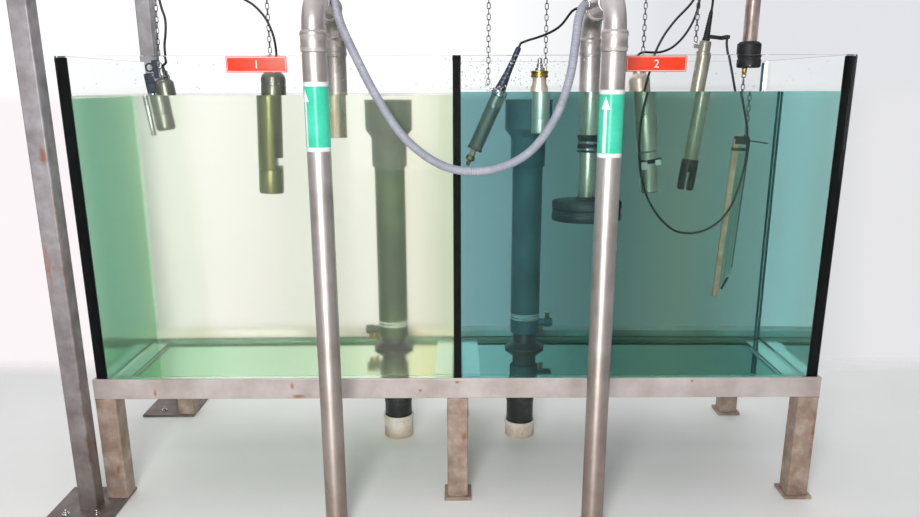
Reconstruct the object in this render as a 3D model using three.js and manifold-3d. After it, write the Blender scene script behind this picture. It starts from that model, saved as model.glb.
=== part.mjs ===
// Twin glass inspection tank of a treatment plant: an inflow and an outflow compartment
// on a square tube stand, fed by two steel risers, with overflow standpipes and hanging probes.
// Millimetres, +Z up. Inside this file X = 0 is the partition, Y = 0 the stand's front face
// and Z = 0 the floor. The exported group is moved so that its base is centred on the origin.

import * as THREE from 'three';
import { mergeVertices } from 'three/addons/utils/BufferGeometryUtils.js';
import Module from 'manifold-3d';

const wasm = await Module();
wasm.setup();

// Driving dimensions
const gap = 0.3;

const standHalf = 1240;
const standDepth = 785;
const standTop = 457;
const tube = 72;
const ledgeTop = 404;
const lipThick = 8;
const sideLipThick = 10;
const lipGap = 2;
const backLedge = 660;
const footSize = 95;
const footThick = 12;

const postSize = 60;
const postX = -1269;
const postFrontY = -53;
const postBackY = 886;
const postPlateThick = 10;
const postPlateLeft = -1395;
const postPlateRight = -1168;
const railBottom = 2040;
const wallX = 1425;
const wallPlateThick = 12;
const wallPlateSize = 160;
const hangY = 300;
const hangSize = 50;

const glassHalf = 1228;
const glassFront = 10;
const glassBack = 725;
const glassTop = 1508;
const glassThick = 24;
const sealThick = 6;
const sealTop = 1504;
const cornerSeal = 30;
const partitionSeal = 25;
const floorHoleRadius = 62;

const signX = 612;
const signSize = [185, 3, 47];
const signLow = 1458;

const riserX = [-399, 442];
const riserY = -187;
const riserRadius = 35;
const flangeRadius = 60;
const flangeThick = 10;
const sleeveRadius = 38.5;
const sleeveLow = 1510;
const sleeveHigh = 1562;
const runZ = 1652;
const runRadius = 30;
const bendRadius = 90;
const bendPipe = 34;
const unionRadius = 40;
const unionLength = 22;
const dropY = 218;
const dropRadius = 34;
const dropWall = 3;
const dropSleeveLow = 1509;
const dropEndLeft = 1251;
const couplingSpan = [1202, 1258];
const diffuserSpan = [972, 1040];
const diffuserRadius = 118;

const standpipeX = [-247, 260];
const standpipeY = 538;
const standpipeRadius = 55;
const cupRadius = 84.5;
const cupWall = 5;
const cupTop = 1368;
const fittingTops = [481, 494];
const fittingBottom = 383;
const socketHeights = [94, 66];
const tapHeights = [506, 533];

const chainRadius = 6;
const eyeRadius = 7;
const glandRadius = 6;
const hoseRadius = 13.5;
const hoseY = -60;
const hoseX = -370;
const collarRadius = 17;
const collarDrop = 35;
const cableRadius = 4;
const loopY = 235;
const armY = 239;

// The hose's stub leaves the right crossover's run at a slant, in the run's own plane.
const stubRadius = 9;
const stubAngle = Math.PI / 6;
const stubFootY = 105;
const stubReach = 84;
const stubTip = [
	riserX[1] - (stubReach + gap) * Math.sin(stubAngle),
	stubFootY - (stubReach + gap) * Math.cos(stubAngle),
	runZ,
];

// Materials
const paint = (color, roughness, metalness, more = {}) =>
	new THREE.MeshStandardMaterial({ color, roughness, metalness, ...more });

const steel = paint(0xc7b9b5, 0.5, 0.7);
const legSteel = paint(0xa08d7f, 0.6, 0.7);
const postSteel = paint(0x8a7b78, 0.55, 0.6);
const pipeSteel = paint(0xb9ada8, 0.4, 0.8);
const glass = paint(0xcfeae4, 0.05, 0, { transparent: true, opacity: 0.35 });
const silicone = paint(0x101214, 0.6, 0);
const signRed = paint(0xff4f35, 0.5, 0);
const pvcDark = paint(0x4a5a5c, 0.6, 0);
const pvcWhite = paint(0xe6ddd2, 0.6, 0);
const rubberBlack = paint(0x1a1c1d, 0.7, 0);
const diffuserSlate = paint(0x28383c, 0.6, 0);
const probeSteel = paint(0x9c9c88, 0.35, 0.8);
const chainSteel = paint(0x8e8f8c, 0.4, 0.9);
const hoseGrey = paint(0xa9a6b0, 0.6, 0);
const cableBlack = paint(0x131415, 0.55, 0);
const barBeige = paint(0xb5a98f, 0.6, 0);

// Shape helpers
const block = (x0, x1, y0, y1, z0, z1) =>
	new THREE.BoxGeometry(x1 - x0, y1 - y0, z1 - z0)
		.translate((x0 + x1) / 2, (y0 + y1) / 2, (z0 + z1) / 2);

// A body of revolution about +Z from [radius, z] points listed upwards on its outer side.
const turned = (points, sides = 24) =>
	new THREE.LatheGeometry(points.map(([r, z]) => new THREE.Vector2(r, z)), sides)
		.rotateX(Math.PI / 2);

const rod = (radius, low, high, sides = 24) =>
	turned([[0, low], [radius, low], [radius, high], [0, high]], sides);

// A flat piece of [x, z] outline, anticlockwise as seen from the front, centred on Y = 0.
const slab = (outline, thick) =>
	new THREE.ExtrudeGeometry(
		new THREE.Shape(outline.map(([x, z]) => new THREE.Vector2(x, z))),
		{ depth: thick, bevelEnabled: false },
	).rotateX(Math.PI / 2).translate(0, thick / 2, 0);

const swept = (path, radius, steps, sides) => {
	const section = new THREE.Shape();
	section.absarc(0, 0, radius, 0, Math.PI * 2, false);
	return new THREE.ExtrudeGeometry(section, { extrudePath: path, steps, curveSegments: sides / 2 });
};

const toSolid = (geometry) => {
	const bare = geometry.clone();
	bare.deleteAttribute('normal');
	bare.deleteAttribute('uv');
	const merged = mergeVertices(bare, 1e-4);
	return new wasm.Manifold(new wasm.Mesh({
		numProp: 3,
		vertProperties: new Float32Array(merged.attributes.position.array),
		triVerts: new Uint32Array(merged.index.array),
	}));
};

const toGeometry = (manifold) => {
	const mesh = manifold.getMesh();
	const geometry = new THREE.BufferGeometry();
	geometry.setAttribute('position', new THREE.BufferAttribute(mesh.vertProperties, 3));
	geometry.setIndex(new THREE.BufferAttribute(mesh.triVerts, 1));
	geometry.computeVertexNormals();
	return geometry;
};

const joined = (...geometries) =>
	toGeometry(geometries.map(toSolid).reduce((whole, piece) => whole.add(piece)));

const cut = (body, ...tools) =>
	toGeometry(tools.map(toSolid).reduce((whole, tool) => whole.subtract(tool), toSolid(body)));

const group = new THREE.Group();

const add = (name, geometry, material, place = [0, 0, 0], tiltY = 0) => {
	const mesh = new THREE.Mesh(geometry, material);
	mesh.name = name;
	mesh.position.set(...place);
	mesh.rotation.y = tiltY;
	group.add(mesh);
	return mesh;
};

// A quarter circle about [y, z] in the plane X = 0.
class Quarter extends THREE.Curve {
	constructor(y, z, radius, from) {
		super();
		Object.assign(this, { y, z, radius, from });
	}

	getPoint(t, target = new THREE.Vector3()) {
		const angle = this.from + t * Math.PI / 2;
		const { y, z, radius } = this;
		return target.set(0, y - radius * Math.cos(angle), z + radius * Math.sin(angle));
	}
}

function addStand() {
	// The tank's foot stands inside the frame: each outer beam has a ledge and a raised lip.
	const beamLow = standTop - tube;
	const inner = standHalf - tube;
	const lipInner = standHalf - sideLipThick;
	const beam = (x0, x1, y0, y1, ...lips) => joined(
		block(x0, x1, y0, y1, beamLow, ledgeTop),
		...lips.map((lip) => block(...lip, beamLow, standTop)),
	);
	const ends = (y0, y1) => [
		[-standHalf, -lipInner, y0, y1],
		[lipInner, standHalf, y0, y1],
	];
	add('beam_front', beam(-standHalf, standHalf, 0, tube,
		[-standHalf, standHalf, 0, lipThick], ...ends(0, tube)), steel);
	add('beam_back', beam(-standHalf, standHalf, backLedge, standDepth,
		[-standHalf, standHalf, glassBack + lipGap, standDepth], ...ends(backLedge, standDepth)), steel);
	const [leftLip, rightLip] = ends(tube, backLedge);
	add('beam_left', beam(-standHalf, -inner, tube, backLedge, leftLip), steel);
	add('beam_right', beam(inner, standHalf, tube, backLedge, rightLip), steel);
	add('beam_middle', block(-tube / 2, tube / 2, tube, backLedge, beamLow, ledgeTop), steel);

	const columns = { left: -standHalf + tube / 2, middle: 0, right: standHalf - tube / 2 };
	const rows = { front: tube / 2, back: standDepth - tube / 2 };
	for (const [side, x] of Object.entries(columns)) {
		for (const [row, y] of Object.entries(rows)) {
			const half = tube / 2;
			const low = side === 'left' ? postPlateThick : 0;
			const column = block(x - half, x + half, y - half, y + half, low, beamLow);
			const foot = block(
				x - footSize / 2, x + footSize / 2, y - footSize / 2, y + footSize / 2, 0, footThick);
			add(`leg_${row}_${side}`, side === 'left' ? column : joined(column, foot), legSteel);
		}
	}
}

function addGantry() {
	const half = postSize / 2;
	const plates = { front: [-185, 80], back: [705, 970] };
	for (const [row, y] of [['front', postFrontY], ['back', postBackY]]) {
		const post = block(postX - half, postX + half, y - half, y + half, 0, railBottom);
		const plate = block(postPlateLeft, postPlateRight, ...plates[row], 0, postPlateThick);
		add(`gantry_post_${row}`, joined(post, plate), postSteel);

		const rail = block(
			postX - half, wallX - wallPlateThick / 2, y - half, y + half, railBottom, railBottom + postSize);
		const middle = railBottom + postSize / 2;
		const plateHalf = wallPlateSize / 2;
		const wallPlate = block(
			wallX - wallPlateThick, wallX, y - plateHalf, y + plateHalf, middle - plateHalf, middle + plateHalf);
		const collar = rod(collarRadius, railBottom - collarDrop, railBottom + 4, 16)
			.translate(hoseX, hoseY, 0);
		const pieces = row === 'front' ? [rail, wallPlate, collar] : [rail, wallPlate];
		add(`gantry_rail_${row}`, joined(...pieces), postSteel);
	}
	const railTop = railBottom + postSize;
	add('gantry_rail_left', block(
		postX - half, postX + half, postFrontY + half, postBackY - half, railBottom, railTop), postSteel);
	const hangHalf = hangSize / 2;
	const hangMiddle = railBottom + hangHalf;
	add('hanging_rail', joined(
		block(
			postX + half, wallX - wallPlateThick / 2, hangY - hangHalf, hangY + hangHalf,
			railBottom, railBottom + hangSize),
		block(
			wallX - wallPlateThick, wallX, hangY - wallPlateSize / 2, hangY + wallPlateSize / 2,
			hangMiddle - wallPlateSize / 2, hangMiddle + wallPlateSize / 2),
	), postSteel);
}

function addGlass() {
	const innerFront = glassFront + glassThick;
	const innerBack = glassBack - glassThick;
	const paneFront = innerFront + sealThick + gap;
	const paneBack = innerBack - sealThick - gap;
	const floorTop = ledgeTop + glassThick;
	const half = glassThick / 2;

	add('glass_front', block(-glassHalf, glassHalf, glassFront, innerFront, ledgeTop, glassTop), glass);
	add('glass_back', block(-glassHalf, glassHalf, innerBack, glassBack, ledgeTop, glassTop), glass);
	for (const [side, low] of [['left', -glassHalf], ['right', glassHalf - glassThick]]) {
		add(`glass_${side}`, block(low, low + glassThick, paneFront, paneBack, ledgeTop, glassTop), glass);
	}
	add('glass_partition', block(-half, half, paneFront, paneBack, floorTop + gap, glassTop), glass);

	const holes = standpipeX.map((x) =>
		rod(floorHoleRadius, ledgeTop - 1, floorTop + 1).translate(x, standpipeY, 0));
	const floorHalf = glassHalf - glassThick - gap;
	add('glass_floor', cut(
		block(-floorHalf, floorHalf, paneFront, paneBack, ledgeTop, floorTop), ...holes), glass);

	// Black sealing along the front and back panes: two corners, the partition and the floor.
	for (const [row, low] of [['front', innerFront + gap / 2], ['back', innerBack - sealThick - gap / 2]]) {
		const high = low + sealThick;
		add(`seal_${row}`, joined(
			block(-glassHalf, glassHalf, low, high, ledgeTop, floorTop),
			block(-glassHalf, -glassHalf + cornerSeal, low, high, ledgeTop, sealTop),
			block(glassHalf - cornerSeal, glassHalf, low, high, ledgeTop, sealTop),
			block(-partitionSeal / 2, partitionSeal / 2, low, high, ledgeTop, sealTop),
		), silicone);
	}
}

function addSigns() {
	const [width, depth, height] = signSize;
	for (const [side, x] of [['left', -signX], ['right', signX]]) {
		add(`sign_${side}`, block(
			x - width / 2, x + width / 2, glassFront - depth, glassFront, signLow, signLow + height), signRed);
	}
}

function crossoverShape(dropEnd, hollow) {
	const front = new Quarter(riserY + bendRadius, runZ - bendRadius, bendRadius, 0);
	const rear = new Quarter(dropY - bendRadius, runZ - bendRadius, bendRadius, Math.PI / 2);
	const parts = [
		rod(sleeveRadius, sleeveLow, sleeveHigh + 6).translate(0, riserY, 0),
		swept(front, bendPipe, 8, 20),
		rod(runRadius, 0, dropY - riserY - 2 * bendRadius + 8, 20)
			.rotateX(-Math.PI / 2).translate(0, riserY + bendRadius - 4, runZ),
		rod(unionRadius, 0, unionLength, 20)
			.rotateX(-Math.PI / 2).translate(0, dropY - bendRadius + 2 - unionLength, runZ),
		swept(rear, bendPipe, 8, 20),
		rod(sleeveRadius - 2, dropSleeveLow, sleeveHigh + 6).translate(0, dropY, 0),
		rod(dropRadius, dropEnd, dropSleeveLow + 10).translate(0, dropY, 0),
	];
	const whole = joined(...parts);
	if (!hollow) return whole;
	return cut(whole, rod(dropRadius - dropWall, dropEnd - 1, dropSleeveLow).translate(0, dropY, 0));
}

function addPipes() {
	const names = ['left', 'right'];
	riserX.forEach((x, i) => {
		add(`riser_${names[i]}`, joined(
			rod(riserRadius, 0, sleeveLow),
			rod(flangeRadius, 0, flangeThick),
		), pipeSteel, [x, riserY, 0]);
	});
	const [low, high] = couplingSpan;
	add('crossover_left', crossoverShape(dropEndLeft, true), pipeSteel, [riserX[0], 0, 0]);
	add('crossover_right', joined(
		crossoverShape(high, false),
		rod(stubRadius, 0, stubReach, 12)
			.rotateX(Math.PI / 2).rotateZ(-stubAngle).translate(0, stubFootY, runZ),
	), pipeSteel, [riserX[1], 0, 0]);
	add('drop_coupling', turned([
		[0, low], [dropRadius + 6, low], [dropRadius + 6, low + 22], [dropRadius + 2, low + 26],
		[dropRadius + 2, high - 10], [dropRadius + 6, high - 6], [dropRadius + 6, high], [0, high],
	]), rubberBlack, [riserX[1], dropY, 0]);
	const [discLow, discHigh] = diffuserSpan;
	add('diffuser', turned([
		[0, discLow], [diffuserRadius - 4, discLow], [diffuserRadius, discLow + 4],
		[diffuserRadius, discHigh - 4], [diffuserRadius - 4, discHigh],
		[dropRadius - 3, discHigh], [dropRadius - 3, low], [0, low],
	], 32), diffuserSlate, [riserX[1], dropY, 0]);
}

function addStandpipes() {
	const names = ['left', 'right'];
	const floorTop = ledgeTop + glassThick;
	const inner = cupRadius - cupWall;
	standpipeX.forEach((x, i) => {
		const place = [x, standpipeY, 0];
		const away = i === 0 ? -1 : 1;
		const fittingTop = fittingTops[i];
		const tapZ = tapHeights[i];
		const spout = rod(15, 0, 58, 12)
			.rotateY(away * Math.PI / 2).translate(away * (standpipeRadius - 6), 0, tapZ);
		// The left tap's spindle points down and the right one's points up.
		const spindle = rod(9, 0, 38, 8).translate(away * 86, 0, i === 0 ? tapZ - 38 : tapZ);
		add(`standpipe_${names[i]}`, joined(turned([
			[0, fittingTop], [standpipeRadius, fittingTop], [standpipeRadius, 1153], [63, 1153],
			[63, 1236], [cupRadius, 1266], [cupRadius, cupTop], [inner, cupTop], [inner, 1269],
			[standpipeRadius - 3, 1238], [standpipeRadius - 3, 1180], [0, 1180],
		], 32), spout, spindle), pvcDark, place);
		add(`tank_fitting_${names[i]}`, turned([
			[0, 30], [standpipeRadius, 30], [standpipeRadius, fittingBottom], [64, fittingBottom],
			[64, ledgeTop - gap], [61, ledgeTop - gap], [61, floorTop + gap], [75, floorTop + gap],
			[75, floorTop + 9], [54, floorTop + 24], [45, floorTop + 28], [45, fittingTop],
			[0, fittingTop],
		], 32), pvcDark, place);

		const top = socketHeights[i];
		add(`floor_socket_${names[i]}`, turned([
			[0, 0], [60, 0], [60, top - 16], [63, top - 14], [63, top], [56, top], [56, 29.7], [0, 29.7],
		], 32), pvcWhite, place);
	});
}

// A probe hangs in the plane Y = hangY. Its shape is drawn about a point of its own, at the plant's
// [x, z] `at`, and leans so that its foot lies towards `foot`.
const leanOf = ([fromX, fromZ], [toX, toZ]) => Math.atan2(fromX - toX, fromZ - toZ);

// Where the point [x, z] of a leaning probe lies in the plant.
const placed = ({ at, lean }, [x, z]) => [
	at[0] + x * Math.cos(lean) + z * Math.sin(lean),
	at[1] - x * Math.sin(lean) + z * Math.cos(lean),
];

function addChain(name, x, low, high = railBottom - gap) {
	add(name, rod(chainRadius, low, high, 8), chainSteel, [x, hangY, 0]);
}

function hang(number, material, at, foot, eye, shape, eyeHalf = eyeRadius) {
	const probe = { at, lean: leanOf(at, foot) };
	add(`probe_${number}`, shape, material, [at[0], hangY, at[1]], probe.lean);
	const [x, z] = placed(probe, eye);
	const chainLow = z + eyeHalf * Math.abs(Math.sin(probe.lean)) + gap;
	return { ...probe, chainX: x, chainLow };
}

const eyeStem = (x, low, high) => rod(eyeRadius, low, high, 10).translate(x, 0, 0);
const gland = (x, low, high) => rod(glandRadius, low, high, 10).translate(x, 0, 0);

function addProbes() {
	// A short sensor with a slim rod beside it, on one holder
	const first = hang(1, probeSteel, [-1005, 1440], [-984, 1275], [-8, 40], joined(
		turned([[0, -168], [27, -168], [32, -160], [32, -12], [20, 0], [0, 0]], 20),
		rod(9, -180, 20, 10).translate(-46, 0, 0),
		block(-55, 0, -14, 14, -40, -5),
		eyeStem(-8, -4, 40),
		gland(10, -4, 30),
	));
	addChain('chain_1', first.chainX, first.chainLow);

	// The thick sensor of the inflow side, with a slot near its foot
	const second = hang(2, probeSteel, [-628, 1453], [-642, 1059], [-10, 70], cut(joined(
		turned([
			[0, -394], [42, -394], [42, -12], [38, 0], [30, 8], [22, 12], [22, 38], [0, 38],
		]),
		eyeStem(-10, 30, 70),
		gland(11, 30, 62),
	), block(20, 60, -60, 60, -300, -272)));
	addChain('chain_2', second.chainX, second.chainLow);

	// The slanting tube with a thin end piece, held by a band below its tapered boot
	const third = hang(3, probeSteel, [203, 1521], [59, 1204], [-46, -134], joined(
		turned([
			[0, -405], [7, -405], [7, -388], [16, -384], [16, -372], [10, -368], [10, -346],
			[26, -346], [26, -338], [24, -338], [24, -154], [26, -153], [26, -131], [19, -129],
			[12, -70], [9.5, -20], [9.5, 16], [8, 24], [0, 24],
		], 20),
		block(-46, -20, -6, 6, -150, -134),
	), 0);
	addChain('chain_3', third.chainX + 3, third.chainLow);

	// The short straight sensor with a brass collar
	const fourth = hang(4, probeSteel, [284, 1425], [284, 1259], [20, 60], joined(
		turned([
			[0, -166], [30.5, -166], [30.5, -14], [24, 0], [24, 22], [30, 22], [30, 40],
			[11, 44], [11, 62], [8, 66], [8, 84], [0, 84],
		]),
		eyeStem(20, 30, 60),
	));
	addChain('chain_4', fourth.chainX, fourth.chainLow);

	// The long sensor with a thinner lower half and a clamp band
	const fifth = hang(5, probeSteel, [624, 1456], [669, 1056], [20, 64], joined(
		turned([
			[0, -400], [30, -400], [30, -262], [36.5, -256], [36.5, -20], [30, -8], [20, 0],
			[20, 18], [0, 18],
		]),
		block(-44, -28, -13, 13, -282, -250),
		block(24, 62, -5, 5, -266, -258),
		eyeStem(20, -5, 64),
		gland(-9, 10, 22),
	));
	addChain('chain_5', fifth.chainX, fifth.chainLow);

	// The slanting sensor with a forked black foot, a long strain relief and a cable arm
	const sixth = hang(6, probeSteel, [844, 1528], [802, 1169], [-33, 24], cut(joined(
		turned([
			[0, -464], [27, -464], [29, -452], [29, -360], [24, -360], [24, 0], [20, 0],
			[20, 34], [12, 40], [12, 128], [6, 134], [0, 134],
		], 20),
		block(-40, -14, -7, 7, 8, 24),
		block(8, 58, -7, 7, 44, 56),
		block(44, 58, -68, 0, 44, 56),
	), block(-9, 9, -40, 40, -470, -402)));
	addChain('chain_6', sixth.chainX, sixth.chainLow);

	// The flat bar probe, cut slanting at its foot, on a short chain under its pole
	const poleX = 998;
	const hookLow = 1440;
	const seventh = hang(7, barBeige, [973, 1252], [943, 684], [12, 8], joined(
		slab([[-28, -570], [-6, -570], [28, -463], [28, -13], [-28, -13]], 18),
		block(-24, 24, -14, 14, -30, 8),
	));
	add('probe_pole', joined(
		rod(24, 1556, railBottom - gap, 20),
		rod(39.5, 1474, 1558, 20),
		rod(9, hookLow, 1476, 10).translate(seventh.chainX - poleX, 0, 0),
	), pipeSteel, [poleX, hangY, 0]);
	addChain('chain_7', seventh.chainX, seventh.chainLow, hookLow - gap);

	return { first, second, third, fifth, sixth };
}

const pathOf = (points) =>
	new THREE.CatmullRomCurve3(points.map((p) => new THREE.Vector3(...p)), false, 'centripetal');

// The two first points of a cable: where it leaves a gland's end, and a little further along.
const exitOf = (probe, [x, z]) => [gap, 14].map((on) => {
	const [plantX, plantZ] = placed(probe, [x, z + on]);
	return [plantX, hangY, plantZ];
});

// The hose leans on the left crossover's run, a little above its middle.
function addHose() {
	const leanAngle = 0.13;
	const leanReach = runRadius + hoseRadius + gap;
	add('hose', swept(pathOf([
		[hoseX, hoseY, railBottom - collarDrop - gap],
		[hoseX, hoseY, 1960],
		[hoseX, hoseY, 1880],
		[-369.5, hoseY, 1810],
		[-367, hoseY, 1755],
		[-362, hoseY, 1705],
		[riserX[0] + leanReach * Math.cos(leanAngle), hoseY, runZ + leanReach * Math.sin(leanAngle)],
		[-342, hoseY, 1600],
		[-308, hoseY, 1520],
		[-240, hoseY, 1385],
		[-150, hoseY, 1255],
		[-30, hoseY, 1175],
		[100, hoseY, 1166],
		[215, hoseY, 1215],
		[297, hoseY, 1320],
		[338, hoseY, 1440],
		[352, hoseY, 1545],
		[359, -48, 1602],
		[374, -16, 1639],
		[389, 14, runZ],
		stubTip,
	]), hoseRadius, 50, 12), hoseGrey);
}

function addCables({ first, second, third, fifth, sixth }) {
	const railEnd = railBottom - gap;
	const cable = (name, steps, points) =>
		add(name, swept(pathOf(points), cableRadius, steps, 8), cableBlack);

	cable('cable_1', 30, [
		...exitOf(first, [10, 30]),
		[-988, 294, 1495],
		[-989, 289, 1520],
		[-987, 286, 1552],
		[-980, 284, 1585],
		[-976, 284, 1616],
		[-977, 284, 1642],
		[-984, 284, 1668],
		[-990, 284, 1705],
		[-992, 284, 1750],
		[-988, 285, 1810],
		[-981, 287, 1880],
		[-975, 289, 1960],
		[-974, 290, railEnd],
	]);
	cable('cable_2', 34, [
		...exitOf(second, [11, 62]),
		[-615, 291, 1560],
		[-618, 286, 1582],
		[-625, 284, 1605],
		[-636, 284, 1630],
		[-651, 284, 1652],
		[-679, 284, 1680],
		[-713, 284, 1700],
		[-748, 285, 1722],
		[-782, 286, 1752],
		[-812, 287, 1795],
		[-834, 288, 1850],
		[-846, 289, 1920],
		[-850, 290, 1985],
		[-850, 290, railEnd],
	]);
	const unionY = dropY - bendRadius + 2 - unionLength / 2;
	cable('cable_3', 26, [
		...exitOf(third, [0, 24]),
		[228, 296, 1560],
		[245, 290, 1566],
		[264, 281, 1571],
		[284, 268, 1577],
		[303, 253, 1584],
		[320, 235, 1592],
		[334, 215, 1601],
		[345, 194, 1612],
		[353, 172, 1624],
		[360, 150, 1636],
		[368, 133, 1646],
		[382, unionY, runZ],
		[riserX[1] - unionRadius - gap, unionY, runZ],
	]);
	cable('cable_5', 34, [
		...exitOf(fifth, [-9, 22]),
		[613, 301.5, 1502],
		[621, 306.5, 1516],
		[638, 314.5, 1526],
		[674, 318, 1526],
		[704, 320, 1528],
		[738, 321, 1541],
		[772, 322, 1571],
		[800, 323.5, 1613],
		[818, 324, 1660],
		[825, 323.5, 1712],
		[826, 322, 1780],
		[824, 320, 1860],
		[822, 318, 1950],
		[821, 318, railEnd],
	]);
	const armEnd = placed(sixth, [51, 44 - gap - cableRadius * Math.sin(sixth.lean)]);
	cable('cable_loop', 80, [
		...exitOf(sixth, [0, 134]),
		[858, 291, 1702],
		[840, 270, 1724],
		[815, 250, 1724],
		[790, 238, 1704],
		[766, loopY, 1671],
		[723, loopY, 1625],
		[687, loopY, 1575],
		[661, loopY, 1518],
		[647, loopY, 1467],
		[630, loopY, 1393],
		[615, loopY, 1310],
		[613, loopY, 1215],
		[624, loopY, 1124],
		[645, loopY, 1059],
		[675, loopY, 1004],
		[711, loopY, 962],
		[752, loopY, 932],
		[800, loopY, 923],
		[851, loopY, 932],
		[904, loopY, 966],
		[938, loopY, 1017],
		[959, loopY, 1082],
		[971, loopY, 1150],
		[975, loopY, 1223],
		[966, loopY, 1292],
		[951, loopY, 1350],
		[937, loopY, 1400],
		[921, loopY, 1460],
		[906, loopY, 1515],
		[armEnd[0], armY, armEnd[1] - 14],
		[armEnd[0], armY, armEnd[1]],
	]);
}

addStand();
addGantry();
addGlass();
addSigns();
addPipes();
addStandpipes();
const probes = addProbes();
addHose();
addCables(probes);

// The base's centre on the floor is the origin of the part.
const box = new THREE.Box3().setFromObject(group);
group.position.set(-(box.min.x + box.max.x) / 2, -(box.min.y + box.max.y) / 2, 0);

export default group;
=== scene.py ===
# %% [markdown]
# # Twin glass inspection tank
# A treatment plant leads a little of its water through this tank, so that instruments can read
# it all day. The left compartment takes the inflow and the right one the outflow. Everything is
# drawn in the millimetres of the plant's own drawing: X is 0 at the glass partition, Y is 0 at
# the stand's front face and Z is 0 on the floor.

# %% Load the frame
import math
import random

import bpy
from mathutils import Matrix, Vector
from mathutils.kdtree import KDTree


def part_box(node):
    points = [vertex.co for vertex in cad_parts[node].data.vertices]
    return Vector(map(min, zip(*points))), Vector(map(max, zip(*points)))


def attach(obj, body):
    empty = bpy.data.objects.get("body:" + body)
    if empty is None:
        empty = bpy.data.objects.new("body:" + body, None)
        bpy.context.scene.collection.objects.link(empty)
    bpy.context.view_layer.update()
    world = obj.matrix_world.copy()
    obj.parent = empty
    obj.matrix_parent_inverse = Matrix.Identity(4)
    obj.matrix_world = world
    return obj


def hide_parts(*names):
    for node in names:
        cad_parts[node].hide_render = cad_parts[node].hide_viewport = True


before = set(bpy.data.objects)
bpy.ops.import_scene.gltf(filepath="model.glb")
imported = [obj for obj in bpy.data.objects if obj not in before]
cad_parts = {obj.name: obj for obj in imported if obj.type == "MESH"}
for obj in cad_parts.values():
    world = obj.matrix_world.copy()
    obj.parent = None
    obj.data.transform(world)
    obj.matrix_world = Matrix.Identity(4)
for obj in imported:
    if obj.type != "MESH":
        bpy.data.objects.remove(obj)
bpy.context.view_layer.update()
scene = bpy.context.scene
SHIFT = Vector((-0.015, -0.3615, 0))  # the frame's origin is under the middle of the whole plant


def plant(x, y, z):
    """A point of the drawing, in millimetres, as scene metres."""
    return Vector((x, y, z)) / 1000 + SHIFT


print("CAD nodes:", len(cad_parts))

# %% [markdown]
# ## Camera
# The photograph was taken at head height with a wide lens, turned down by 15 degrees. The frame
# was cut above the middle afterwards, so a small vertical shift does the same here.

# %% Camera
YAW, PITCH, ROLL = (math.radians(a) for a in (0.21, 15.03, -0.12))
FOCAL_PIXELS, FRAME_PIXELS, AXIS_BELOW_MIDDLE = 767, 920, 31.5
EYE = (0, -2437, 1422.5)

lens = bpy.data.cameras.new("camera")
lens.sensor_width = 36
lens.lens = FOCAL_PIXELS / FRAME_PIXELS * lens.sensor_width
lens.shift_y = AXIS_BELOW_MIDDLE / FRAME_PIXELS
camera = bpy.data.objects.new("camera", lens)
camera.matrix_world = (
    Matrix.Translation(plant(*EYE)) @ Matrix.Rotation(-YAW, 4, "Z")
    @ Matrix.Rotation(math.pi / 2 - PITCH, 4, "X") @ Matrix.Rotation(ROLL, 4, "Z"))
scene.collection.objects.link(camera)
scene.camera = camera
print("lens:", round(lens.lens, 2), "mm")

# %% [markdown]
# ## Colours and nodes
# Colours are picked as sRGB hex codes, but shaders add light up in linear numbers, so one
# function turns the first into the second. A second one adds a node, sets it and links it, which
# keeps each material down to the few lines that say what it is.

# %% Colour and node helpers


def colour(code):
    """The linear colour of an sRGB hex code."""
    parts = [int(code[i:i + 2], 16) / 255 for i in (1, 3, 5)]
    return [p / 12.92 if p <= 0.04045 else ((p + 0.055) / 1.055) ** 2.4 for p in parts] + [1]


def add_node(tree, kind, inputs=None, stops=None, **settings):
    """Adds a node and fills its inputs with values or with the sockets of other nodes."""
    node = tree.nodes.new("ShaderNode" + kind)
    for name, value in settings.items():
        setattr(node, name, value)
    for name, value in (inputs or {}).items():
        if isinstance(value, bpy.types.NodeSocket):
            tree.links.new(value, node.inputs[name])
        else:
            node.inputs[name].default_value = value
    if stops:
        ramp = node.color_ramp
        while len(ramp.elements) < len(stops):
            ramp.elements.new(0.5)
        for stop, (place, code) in zip(ramp.elements, stops):
            stop.position = place
            stop.color = colour(code)
    return node


def start_material(name, **values):
    """A new material, its tree, its main shader with values set, and its Object coordinates."""
    material = bpy.data.materials.new(name)
    print("material", name)
    material.use_nodes = True
    tree = material.node_tree
    shader = tree.nodes["Principled BSDF"]
    for socket, value in values.items():
        shader.inputs[socket.replace("_", " ")].default_value = value
    return material, tree, shader, add_node(tree, "TexCoord").outputs["Object"]


# %% [markdown]
# ## Worn surfaces
# Steel, plastic and rubber in a wet room share one way of ageing: the colour is cloudy, a fine
# grain follows the way the surface was made, and rust or lime sits in spots and runs. One
# function mixes these from real sizes in millimetres, and each material names its own. Where the
# photo shows a single rust run, it is a ragged ellipsoid at that place.

# %% Worn surface
RUST, RUST_SHARE, FOOT_SHARE = "#9A5F30", 0.8, 0.75


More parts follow.
